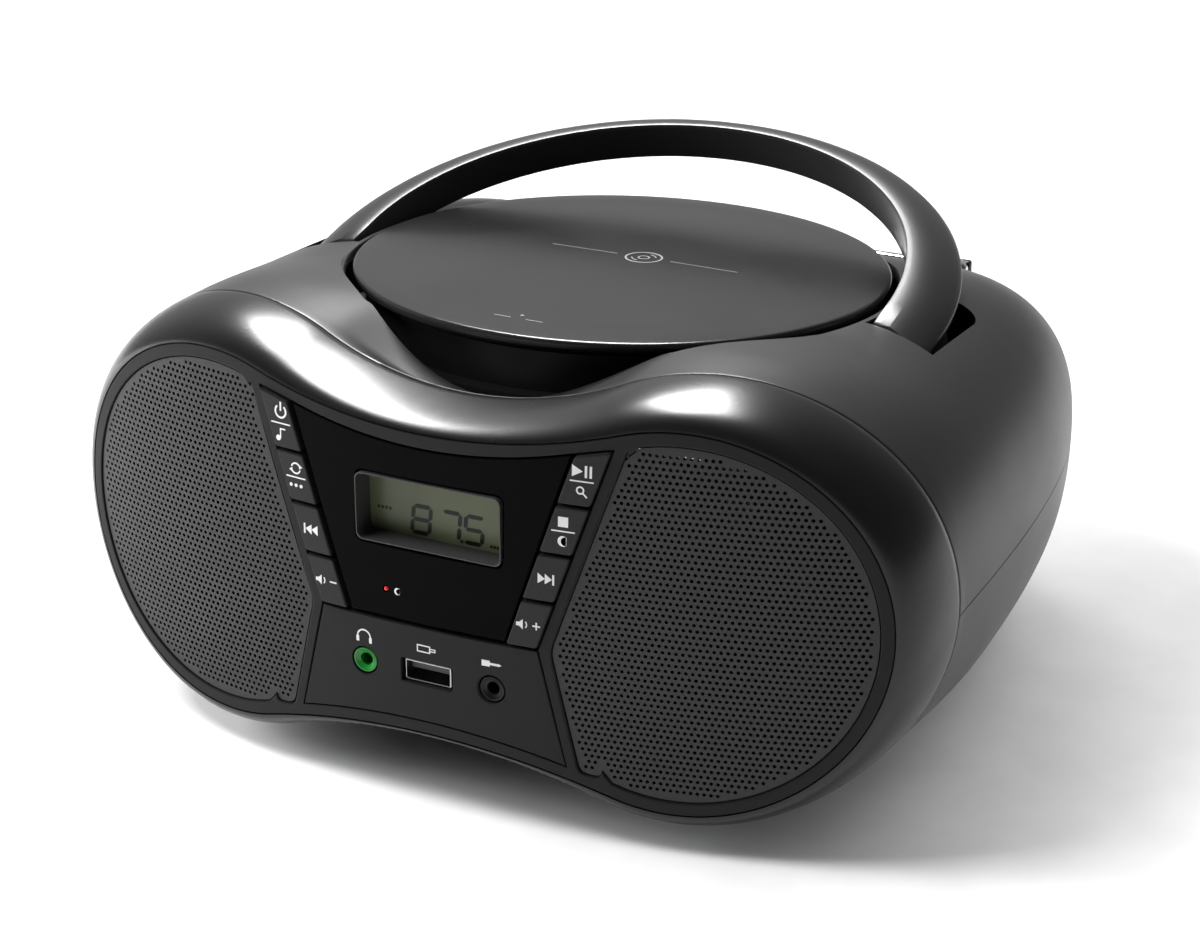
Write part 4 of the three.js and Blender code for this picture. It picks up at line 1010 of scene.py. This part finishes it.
# ---------- materials ----------
def shader(name, colour, rough, metal=0.0, grain=0.0, grain_scale=4000.0, vary=0.06, **more):
    """A Principled surface with fine bump grain and slow changes of roughness and tone."""
    mat = bpy.data.materials.new(name)
    mat.use_nodes = True
    nodes, links = mat.node_tree.nodes, mat.node_tree.links
    main = nodes["Principled BSDF"]
    main.inputs["Metallic"].default_value = metal
    for key, value in more.items():
        main.inputs[key.replace("_", " ")].default_value = value
    where = nodes.new("ShaderNodeTexCoord")
    slow = nodes.new("ShaderNodeTexNoise")
    slow.inputs["Scale"].default_value = 35.0
    slow.inputs["Detail"].default_value = 4.0
    links.new(where.outputs["Object"], slow.inputs["Vector"])
    spread = nodes.new("ShaderNodeMapRange")
    spread.inputs["To Min"].default_value = max(0.02, rough - vary)
    spread.inputs["To Max"].default_value = min(1.0, rough + vary)
    links.new(slow.outputs["Fac"], spread.inputs["Value"])
    links.new(spread.outputs["Result"], main.inputs["Roughness"])
    tone = nodes.new("ShaderNodeMix")
    tone.data_type = "RGBA"
    tone.inputs["A"].default_value = (*[c * 0.9 for c in colour], 1)
    tone.inputs["B"].default_value = (*[min(1, c * 1.1) for c in colour], 1)
    links.new(slow.outputs["Fac"], tone.inputs["Factor"])
    links.new(tone.outputs["Result"], main.inputs["Base Color"])
    if grain:
        fine = nodes.new("ShaderNodeTexNoise")
        fine.inputs["Scale"].default_value = grain_scale
        fine.inputs["Detail"].default_value = 2.0
        links.new(where.outputs["Object"], fine.inputs["Vector"])
        bump = nodes.new("ShaderNodeBump")
        bump.inputs["Strength"].default_value = grain
        bump.inputs["Distance"].default_value = 0.0001
        links.new(fine.outputs["Fac"], bump.inputs["Height"])
        links.new(bump.outputs["Normal"], main.inputs["Normal"])
    return mat


def grey(v):
    return (v, v, v * 1.02)


M = {
    "body": shader("satin_body", grey(0.013), 0.38, grain=0.10, Specular_IOR_Level=0.36),
    "ring": shader("gloss_ring", grey(0.009), 0.27, grain=0.03, vary=0.02, Specular_IOR_Level=0.36),
    "lid": shader("satin_lid", grey(0.013), 0.22, grain=0.08, Specular_IOR_Level=0.34),
    "handle": shader("satin_handle", grey(0.012), 0.34, grain=0.08, Specular_IOR_Level=0.34),
    "panel": shader("flat_panel", grey(0.010), 0.55, grain=0.15, Specular_IOR_Level=0.18),
    "grille": shader("grille_paint", grey(0.030), 0.42, metal=0.2, grain=0.1, vary=0.05, Specular_IOR_Level=0.25),
    "lens": shader("lens_black", grey(0.0012), 0.07, vary=0.01, Specular_IOR_Level=0.03),
    "button": shader("key_plastic", grey(0.010), 0.5, grain=0.15, Specular_IOR_Level=0.26),
    "tray": shader("display_tray", grey(0.032), 0.5, grain=0.1),
    "lcd": shader("display_green", (0.085, 0.098, 0.052), 0.3, vary=0.03, Specular_IOR_Level=0.3),
    "digit": shader("display_ink", (0.004, 0.005, 0.003), 0.3, vary=0.03, Specular_IOR_Level=0.2),
    "print": shader("white_print", grey(0.62), 0.5),
    "silver": shader("silver_print", grey(0.30), 0.4),
    "red": shader("red_lens", (0.7, 0.03, 0.02), 0.25, vary=0.02),
    "green": shader("green_socket", (0.008, 0.17, 0.02), 0.35),
    "inner": shader("black_moulding", grey(0.006), 0.45, grain=0.1, Specular_IOR_Level=0.3),
    "steel": shader("steel", grey(0.45), 0.32, metal=1.0, grain=0.05),
    "chrome": shader("chrome", grey(0.75), 0.1, metal=1.0, vary=0.03),
    "board": shader("board_green", (0.02, 0.13, 0.05), 0.5, grain=0.1),
    "cone": shader("cone_paper", grey(0.014), 0.9, grain=0.5, grain_scale=1500),
    "rubber": shader("foot_rubber", grey(0.012), 0.85, grain=0.3, grain_scale=2500),
    "magnet": shader("dark_metal", grey(0.06), 0.5, metal=0.6, grain=0.1),
}


# ---------- finishing a piece ----------
def shade(obj, angle=32):
    mesh = obj.data
    mesh.polygons.foreach_set("use_smooth", [True] * len(mesh.polygons))
    mesh.set_sharp_from_angle(angle=math.radians(angle))


def true_face(obj):
    """Gives the curved front of a plate the exact normals of the face."""
    mesh = obj.data
    n = len(mesh.loops)
    corner = np.zeros(n * 3)
    mesh.corner_normals.foreach_get("vector", corner)
    corner = corner.reshape(-1, 3)
    owner = np.zeros(n, int)
    mesh.loops.foreach_get("vertex_index", owner)
    co = np.zeros(len(mesh.vertices) * 3)
    mesh.vertices.foreach_get("co", co)
    co = co.reshape(-1, 3)
    exact = face_normal(co[:, 0], co[:, 2])[owner]
    totals = np.zeros(len(mesh.polygons), int)
    mesh.polygons.foreach_get("loop_total", totals)
    poly = np.zeros(len(mesh.polygons) * 3)
    mesh.polygons.foreach_get("normal", poly)
    poly = np.repeat(poly.reshape(-1, 3), totals, axis=0)
    front = np.sum(poly * exact, axis=1) > 0.995
    corner[front] = exact[front]
    mesh.normals_split_custom_set(corner.tolist())


def true_skin(obj, skin):
    """Gives a cut shell the smooth normals of the uncut skin that it came from."""
    tree, normals, faces, points = skin
    mesh = obj.data
    corner = np.zeros(len(mesh.loops) * 3)
    mesh.corner_normals.foreach_get("vector", corner)
    corner = corner.reshape(-1, 3)
    found = {}
    for poly in mesh.polygons:
        for li in poly.loop_indices:
            vi = mesh.loops[li].vertex_index
            if vi not in found:
                hit = tree.find_nearest(mesh.vertices[vi].co)
                found[vi] = None
                if hit[0] is not None and hit[3] < 2e-3:
                    ids = faces[hit[2]]
                    w = 1 / (np.linalg.norm(points[ids] - np.array(hit[0]), axis=1) + 1e-4)
                    found[vi] = (normals[ids] * w[:, None]).sum(0) / w.sum()
            n = found[vi]
            if n is not None and float(np.dot(poly.normal, n)) > 0.9:
                corner[li] = n / np.linalg.norm(n)
    mesh.normals_split_custom_set(corner.tolist())


def skin_of(obj):
    mesh = obj.data
    points = np.array([v.co for v in mesh.vertices], float)
    faces = [tuple(p.vertices) for p in mesh.polygons if len(p.vertices) == 4]
    normals = np.zeros_like(points)
    for f in faces:
        a, b, c, d = points[list(f)]
        cross = np.cross(c - a, d - b)
        for v in f:
            normals[v] += cross
    normals /= np.maximum(np.linalg.norm(normals, axis=1, keepdims=True), 1e-12)
    tree = BVHTree.FromPolygons([tuple(p) for p in points], faces)
    return tree, normals, [list(f) for f in faces], points


def piece(obj, name, body, mat, node=None, angle=32, exact=None):
    """Names, shades and places a finished piece, ties it to its body, gives it its material slot and hides its CAD
    node.
    """
    obj.name = name
    obj.data.name = name
    shade(obj, angle)
    if exact == "face":
        true_face(obj)
    elif exact:
        true_skin(obj, exact)
    obj.data.transform(Matrix.Scale(MM, 4) @ Matrix.Translation((0, -MID_Y, 0)))
    obj.data.materials.clear()
    obj.data.materials.append(M[mat])
    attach(obj, body)
    if node:
        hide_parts(node)
    return obj


# ---------- cabinet ----------
piece(make_ring(), "ring_skin", "cabinet", "ring", "front_ring", 50)
piece(make_panel(), "panel_skin", "cabinet", "panel", "front_panel", 32, "face")

whole = make_shell()
skin = skin_of(whole)
second = whole.copy()
second.data = whole.data.copy()
bpy.context.scene.collection.objects.link(second)
piece(make_top(whole), "top_skin", "cabinet", "body", "top_cabinet", 32, skin)
piece(make_bottom(second), "bottom_skin", "cabinet", "body", "bottom_cabinet", 32, skin)

for word, side in (("left", -1), ("right", 1)):
    grille = make_grille(side)
    piece(grille, f"grille_{word}", "cabinet", "grille", f"speaker_grille_{word}", 40, "face")
    piece(make_cone(side), f"cone_{word}", f"cone_{word}", "cone", f"speaker_cone_{word}", 50)

piece(make_lens(), "lens_skin", "cabinet", "lens", "display_lens", 32, "face")
piece(make_lcd_tray(), "display_tray", "cabinet", "tray", "lcd_module")
piece(make_led(), "led_tip", "cabinet", "red", "sleep_led", 50)
piece(make_jack_panel(), "jack_plate", "cabinet", "panel", "jack_panel", 32, "face")
piece(make_jack("headphone_jack"), "headphone_socket", "cabinet", "green", "headphone_jack", 50)
piece(make_jack("aux_jack"), "aux_socket", "cabinet", "inner", "aux_jack", 50)
piece(make_usb(), "usb_shell", "cabinet", "steel", "usb_socket")
piece(make_usb_tongue(), "usb_tongue", "cabinet", "magnet")

LEFT_KEYS = ["volume_down", "previous", "mode", "power"]
RIGHT_KEYS = ["volume_up", "next", "stop", "play"]
for keys, side in ((LEFT_KEYS, -1), (RIGHT_KEYS, 1)):
    for row, key in enumerate(keys):
        cap = make_button(side, row)
        piece(cap, f"{key}_cap", f"{key}_key", "button", f"{key}_button", 32, "face")

piece(make_deck(), "deck_skin", "cabinet", "inner", "cd_deck")
piece(make_lid(), "lid_skin", "lid", "lid", "cd_lid", 40)
piece(make_clamp(), "clamp_skin", "clamp", "inner", "disc_clamp", 45)
piece(make_turntable(), "turntable_skin", "turntable", "inner", "turntable", 45)
piece(make_handle(), "handle_skin", "handle", "handle", "carry_handle", 40)

piece(make_aerial_base(), "aerial_foot", "aerial_base", "inner", "aerial_base", 40)
piece(make_aerial_knuckle(), "aerial_joint", "aerial_arm", "chrome", "aerial_knuckle")
AERIAL_STAGES = [
    (make_aerial_tube(2.2, 1.7, -64, 55.6), "aerial_outer", "aerial_arm", "aerial_tube_1"),
    (make_aerial_tube(1.4, 1.0, -69, 51), "aerial_inner", "aerial_middle", "aerial_tube_2"),
    (make_aerial_tip(), "aerial_end_cap", "aerial_end", "aerial_tip"),
]
for stage, name, body, node in AERIAL_STAGES:
    piece(stage, name, body, "chrome", node, 40)

piece(make_door(), "door_skin", "battery_door", "body", "battery_door")
piece(make_inlet(), "inlet_skin", "cabinet", "inner", "ac_inlet")
for i in range(4):
    piece(make_foot(feet[i]), f"rubber_foot_{i + 1}", "cabinet", "rubber", f"foot_{i + 1}", 40)
    piece(make_screw(screws[i]), f"cross_screw_{i + 1}", "cabinet", "steel", f"case_screw_{i + 1}")

# ---------- plain CAD nodes that stay ----------
KEPT = {
    "key_board": "board",
    "main_board": "board",
    "lid_hinge_pin": "steel",
    "spindle_motor": "steel",
    "player_chassis": "steel",
    "sled_motor": "steel",
    "handle_pin_left": "steel",
    "handle_pin_right": "steel",
    "battery_contacts_left": "chrome",
    "battery_contacts_right": "chrome",
    "laser_sled": "inner",
    "battery_tray": "inner",
    "mains_transformer": "magnet",
}
for word in ("left", "right"):
    KEPT[f"speaker_basket_{word}"] = "magnet"
    KEPT[f"speaker_magnet_{word}"] = "magnet"
for node, mat in KEPT.items():
    mesh = frame["nodes"][node].data
    mesh.materials.clear()
    mesh.materials.append(M[mat])

# ---------- printed marks ----------
PRINT = 0.05  # how far a printed mark stands off its surface


def raised(shapes, lifts, place):
    """Thin closed shapes between two lifts above a surface; place turns an outline and a lift into points."""
    verts, faces = [], []
    for shape in shapes:
        p = np.asarray(shape, float)
        first, n = len(verts), len(p)
        for lift in lifts:
            verts += place(p, lift).tolist()
        faces += [tuple(first + i for i in range(n)), tuple(first + n + i for i in reversed(range(n)))]
        faces += [(first + i, first + n + i, first + n + (i + 1) % n, first + (i + 1) % n) for i in range(n)]
    return verts, faces


def flat_mark(shapes, off, name, body, mat):
    """A printed mark on the curved face; each shape is an outline in (x, s)."""
    def place(p, lift):
        x, z = p[:, 0], p[:, 1] + JACK_Z
        return np.stack([x, face_y(x, z) + lift, z], 1)
    return piece(thing(*raised(shapes, (off - PRINT, off + PRINT * 0.6), place)), name, body, mat)


def bar(x0, x1, s0, s1):
    return [(x0, s0), (x1, s0), (x1, s1), (x0, s1)]


def arc_band(x, s, r, w, a0, a1, steps=24):
    turn = [math.radians(a0 + (a1 - a0) * i / steps) for i in range(steps + 1)]
    outer = [(x + (r + w / 2) * math.cos(a), s + (r + w / 2) * math.sin(a)) for a in turn]
    inner = [(x + (r - w / 2) * math.cos(a), s + (r - w / 2) * math.sin(a)) for a in reversed(turn)]
    return outer + inner


def arrow(x, s, w, h):
    return [(x, s - h / 2), (x + w, s), (x, s + h / 2)]


def shifted(shapes, dx, ds):
    return [[(x + dx, s + ds) for x, s in shape] for shape in shapes]


def mark_power():
    return [arc_band(0, 0, 1.15, 0.34, 128, 412), bar(-0.17, 0.17, 0.1, 1.75)]


def mark_rule():
    return [bar(-2.1, 2.1, -0.12, 0.12)]


def mark_note():
    return [arc_band(-0.55, -0.75, 0.28, 0.5, 0, 359, 12), bar(-0.2, 0.05, -0.7, 1.0), bar(-0.2, 1.0, 0.85, 1.1)]


def mark_repeat():
    return [arc_band(0, 0, 0.95, 0.28, 25, 165), arrow(0.75, 0.35, 0.7, 0.9), arc_band(0, 0, 0.95, 0.28, 205, 345),
            [(-0.75, -0.8), (-0.75, 0.1), (-1.45, -0.35)]]


def mark_dots():
    return [arc_band(dx, 0, 0.18, 0.3, 0, 359, 12) for dx in (-1.1, 0, 1.1)]


def mark_skip(way):
    shapes = [arrow(-1.4, 0, 1.3, 1.9), arrow(-0.1, 0, 1.3, 1.9), bar(1.25, 1.6, -0.95, 0.95)]
    return shapes if way > 0 else [[(-x, s) for x, s in reversed(shape)] for shape in shapes]


def mark_play():
    return [arrow(-1.75, 0, 1.9, 2.1), bar(0.5, 0.92, -1.05, 1.05), bar(1.35, 1.77, -1.05, 1.05)]


def mark_stop():
    return [bar(-0.9, 0.9, -0.9, 0.9)]


def mark_moon():
    outer = [(0.95 * math.cos(a), 0.95 * math.sin(a)) for a in np.linspace(0.9, 5.4, 20)]
    inner = [(0.42 + 0.8 * math.cos(a), 0.8 * math.sin(a)) for a in np.linspace(5.0, 1.28, 16)]
    return [outer + inner]


def mark_search():
    return [arc_band(-0.25, 0.2, 0.6, 0.26, 0, 359), [(0.15, -0.4), (0.35, -0.2), (1.05, -0.9), (0.85, -1.1)]]


def mark_volume(sign):
    speaker = [[(-2.3, -0.35), (-1.75, -0.35), (-1.05, -0.95), (-1.05, 0.95), (-1.75, 0.35), (-2.3, 0.35)]]
    wave = [arc_band(-1.2, 0, 0.85, 0.22, -42, 42)]
    step = [bar(0.75, 2.15, -0.14, 0.14)]
    if sign > 0:
        step = [bar(0.75, 1.3, -0.14, 0.14), bar(1.6, 2.15, -0.14, 0.14), bar(1.31, 1.59, -0.7, 0.7)]
    return speaker + wave + step


ICON = 1.42
MARKS = {
    "power": shifted(mark_power(), 0, 2.2) + mark_rule() + shifted(mark_note(), 0, -2.0),
    "mode": shifted(mark_repeat(), 0, 1.7) + mark_rule() + shifted(mark_dots(), 0, -1.5),
    "previous": mark_skip(-1),
    "volume_down": mark_volume(-1),
    "play": shifted(mark_play(), 0, 1.8) + mark_rule() + shifted(mark_search(), 0, -1.8),
    "stop": shifted(mark_stop(), 0, 1.7) + mark_rule() + shifted(mark_moon(), 0, -1.8),
    "next": mark_skip(1),
    "volume_up": mark_volume(1),
}
for keys, side in ((LEFT_KEYS, -1), (RIGHT_KEYS, 1)):
    for row, key in enumerate(keys):
        x, s = button_middle(row)
        scaled = [[(ICON * px, ICON * ps) for px, ps in shape] for shape in MARKS[key]]
        shapes = shifted(scaled, side * x, s)
        flat_mark(shapes, KEY_FACE, f"{key}_mark", f"{key}_key", "print")

HEADPHONE_X, AUX_X = socket_middle("headphone_jack"), socket_middle("aux_jack")
headband = [arc_band(HEADPHONE_X, 6.6, 1.9, 0.4, -5, 185)]
headband += [bar(HEADPHONE_X + a * 1.9 - 0.4, HEADPHONE_X + a * 1.9 + 0.4, 5.1, 6.6) for a in (-1, 1)]
stick = [bar(-2.6, 1.2, 7.9, 8.2), bar(-2.6, 1.2, 6.2, 6.5), bar(-2.6, -2.3, 6.5, 7.9), bar(0.9, 1.2, 6.5, 7.9)]
stick += [bar(1.2, 2.7, 7.4, 7.65), bar(1.2, 2.7, 6.75, 7.0), bar(2.45, 2.7, 7.0, 7.4)]
plug = [bar(AUX_X - 2.6, AUX_X - 0.4, 6.2, 7.8), bar(AUX_X - 0.4, AUX_X + 1.9, 6.7, 7.3)]
plug += [arrow(AUX_X + 1.9, 7.0, 0.9, 0.9)]
flat_mark(headband, 0, "headphone_mark", "cabinet", "print")
flat_mark(stick, 0, "stick_mark", "cabinet", "print")
flat_mark(plug, 0, "plug_mark", "cabinet", "print")
flat_mark(shifted(mark_moon(), LED_X + 3.4, LED_S), 0, "moon_mark", "cabinet", "print")


# ---------- display ----------
def level_mark(shapes, y0, y1, name, mat):
    """Flat shapes between two depths, parallel to the display glass."""
    parts = [prism(shape, y0, y1) for shape in shapes]
    first = parts[0]
    bm = bmesh.new()
    for part in parts:
        bm.from_mesh(part.data)
    bm.to_mesh(first.data)
    bm.free()
    for part in parts[1:]:
        drop(part)
    return piece(first, name, "cabinet", mat)


GLASS_Y = LCD_DEPTH - 0.35
level_mark([window_outline(-0.65)], GLASS_Y, LCD_DEPTH - 0.02, "display_glass_sheet", "lcd")

SEGMENTS = {"8": "abcdefg", "7": "abc", "5": "acdfg"}
DIGIT_W, DIGIT_H, STROKE, SLANT = 4.9, 7.1, 1.1, 0.10


def digit(value, x, s):
    w, h, t = DIGIT_W, DIGIT_H, STROKE
    g, half = 0.12, t / 2

    def flat(y):
        left, right = g + half, w - g - half
        return [(left, y - half), (right, y - half), (w - g, y), (right, y + half), (left, y + half), (g, y)]

    def tall(cx, y0, y1):
        low, high = y0 + g, y1 - g
        return [(cx, low), (cx + half, low + half), (cx + half, high - half), (cx, high),
                (cx - half, high - half), (cx - half, low + half)]
    shapes = {"a": flat(h), "g": flat(h / 2), "d": flat(0)}
    shapes.update({"b": tall(w, h / 2, h), "c": tall(w, 0, h / 2), "f": tall(0, h / 2, h), "e": tall(0, 0, h / 2)})
    return [[(x + a + SLANT * b, s + b) for a, b in shapes[k]] for k in SEGMENTS[value]]


LOW = WINDOW_S - 7.4  # foot of the digits
ink = digit("8", -7.5, LOW) + digit("7", 0.8, LOW) + digit("5", 7.3, LOW)
ink += [bar(6.3, 7.0, LOW - 0.5, LOW + 0.3)]
ink += [bar(-17.2 + 1.1 * i, -16.5 + 1.1 * i, LOW + 4.6, LOW + 5.4) for i in range(4)]
ink += [bar(14.6 + 0.9 * i, 15.2 + 0.9 * i, LOW - 0.2, LOW + 0.5) for i in range(3)]
level_mark(ink, GLASS_Y - 0.06, GLASS_Y + 0.02, "display_digits", "digit")


# ---------- marks on the lid ----------
def lid_mark(shapes, name):
    def place(p, lift):
        x, y = p[:, 0], p[:, 1]
        return np.stack([x, y, LID_CROWN * (1 - (x * x + y * y) / LID_FLAT**2) + lift], 1)
    return piece(thing(*raised(shapes, (PRINT, -PRINT), place), deck), name, "lid", "silver")


emblem = [arc_band(4, 5, 5.0, 0.5, 0, 359, 48), arc_band(4, 5, 1.5, 0.35, 0, 359, 32), arc_band(4, 5, 3.3, 0.3, 20, 80),
          arc_band(4, 5, 3.3, 0.3, 200, 260), bar(-24, -4, 4.9, 5.1), bar(12, 32, 4.9, 5.1)]
opener = [arrow(-0.55, -58.2, 1.1, 1.1), bar(-7, -2.2, -60.9, -60.65), bar(2.2, 7, -60.9, -60.65)]
lid_mark(emblem, "lid_emblem")
lid_mark(opener, "lid_opener")

# ---------- floor, light and camera ----------
floor_mesh = bpy.data.meshes.new("floor")
floor_mesh.from_pydata([(-6, -6, 0), (6, -6, 0), (6, 6, 0), (-6, 6, 0)], [], [(0, 1, 2, 3)])
floor = bpy.data.objects.new("floor", floor_mesh)
bpy.context.scene.collection.objects.link(floor)
floor.location.z = -0.0003
floor_mesh.materials.append(shader("pale_floor", (0.86, 0.86, 0.86), 0.7))


def softbox(name, at, target, size, power, size_y=None):
    data = bpy.data.lights.new(name, "AREA")
    data.shape = "RECTANGLE"
    data.size = size
    data.size_y = size_y or size
    data.energy = power
    lamp = bpy.data.objects.new(name, data)
    lamp.location = at
    lamp.rotation_euler = (Vector(target) - Vector(at)).to_track_quat("-Z", "Y").to_euler()
    bpy.context.scene.collection.objects.link(lamp)
    return lamp


softbox("overhead", (-0.34, -0.30, 0.76), (0.0, -0.02, 0.08), 0.34, 6.5, 0.24).visible_glossy = False
softbox("left_fill", (-1.1, -0.25, 0.35), (0.0, 0.0, 0.06), 0.7, 24.0, 0.5).visible_glossy = False
softbox("rear_wash", (0.2, 1.1, 0.9), (0.0, 0.1, 0.05), 1.2, 10.0).visible_glossy = False
softbox("shine", (-0.20, 0.30, 0.86), (0.03, -0.06, 0.1), 0.34, 30.0, 0.52).visible_diffuse = False

world = bpy.data.worlds.new("studio")
bpy.context.scene.world = world
world.use_nodes = True
nodes, links = world.node_tree.nodes, world.node_tree.links
background = nodes["Background"]
where = nodes.new("ShaderNodeTexCoord")
def sky(way, stops):
    """Brightness that rises along one level direction."""
    along = nodes.new("ShaderNodeVectorMath")
    along.operation = "DOT_PRODUCT"
    along.inputs[1].default_value = (*way, 0.0)
    links.new(where.outputs["Generated"], along.inputs[0])
    shift = nodes.new("ShaderNodeMath")
    shift.operation = "MULTIPLY_ADD"
    shift.inputs[1].default_value = 0.5
    shift.inputs[2].default_value = 0.5
    links.new(along.outputs["Value"], shift.inputs[0])
    ramp = nodes.new("ShaderNodeValToRGB")
    while len(ramp.color_ramp.elements) < len(stops):
        ramp.color_ramp.elements.new(0.5)
    for element, (position, level) in zip(ramp.color_ramp.elements, stops):
        element.position = position
        element.color = (level, level, level, 1)
    links.new(shift.outputs["Value"], ramp.inputs["Fac"])
    return ramp.outputs["Color"]


lit = sky((0.0, 1.0), [(0.30, 0.05), (0.70, 1.0)])
mirrored = sky((-0.6, 0.8), [(0.50, 0.025), (0.60, 0.05), (0.75, 0.30), (1.0, 0.50)])
seen = nodes.new("ShaderNodeLightPath")
gloss = nodes.new("ShaderNodeMix")
gloss.data_type = "RGBA"
links.new(seen.outputs["Is Glossy Ray"], gloss.inputs["Factor"])
links.new(lit, gloss.inputs["A"])
links.new(mirrored, gloss.inputs["B"])
pick = nodes.new("ShaderNodeMix")
pick.data_type = "RGBA"
pick.inputs["B"].default_value = (1, 1, 1, 1)
links.new(seen.outputs["Is Camera Ray"], pick.inputs["Factor"])
links.new(gloss.outputs["Result"], pick.inputs["A"])
links.new(pick.outputs["Result"], background.inputs["Color"])
background.inputs["Strength"].default_value = 1.0

camera_data = bpy.data.cameras.new("camera")
camera_data.lens = 82.5
camera_data.sensor_width = 36.0
camera = bpy.data.objects.new("camera", camera_data)
camera.location = (0.31171, -0.63555, 0.35032)
camera.rotation_euler = (math.radians(67.404), 0.0, math.radians(26.395))
bpy.context.scene.collection.objects.link(camera)
bpy.context.scene.camera = camera
bpy.context.scene.view_settings.view_transform = "Standard"
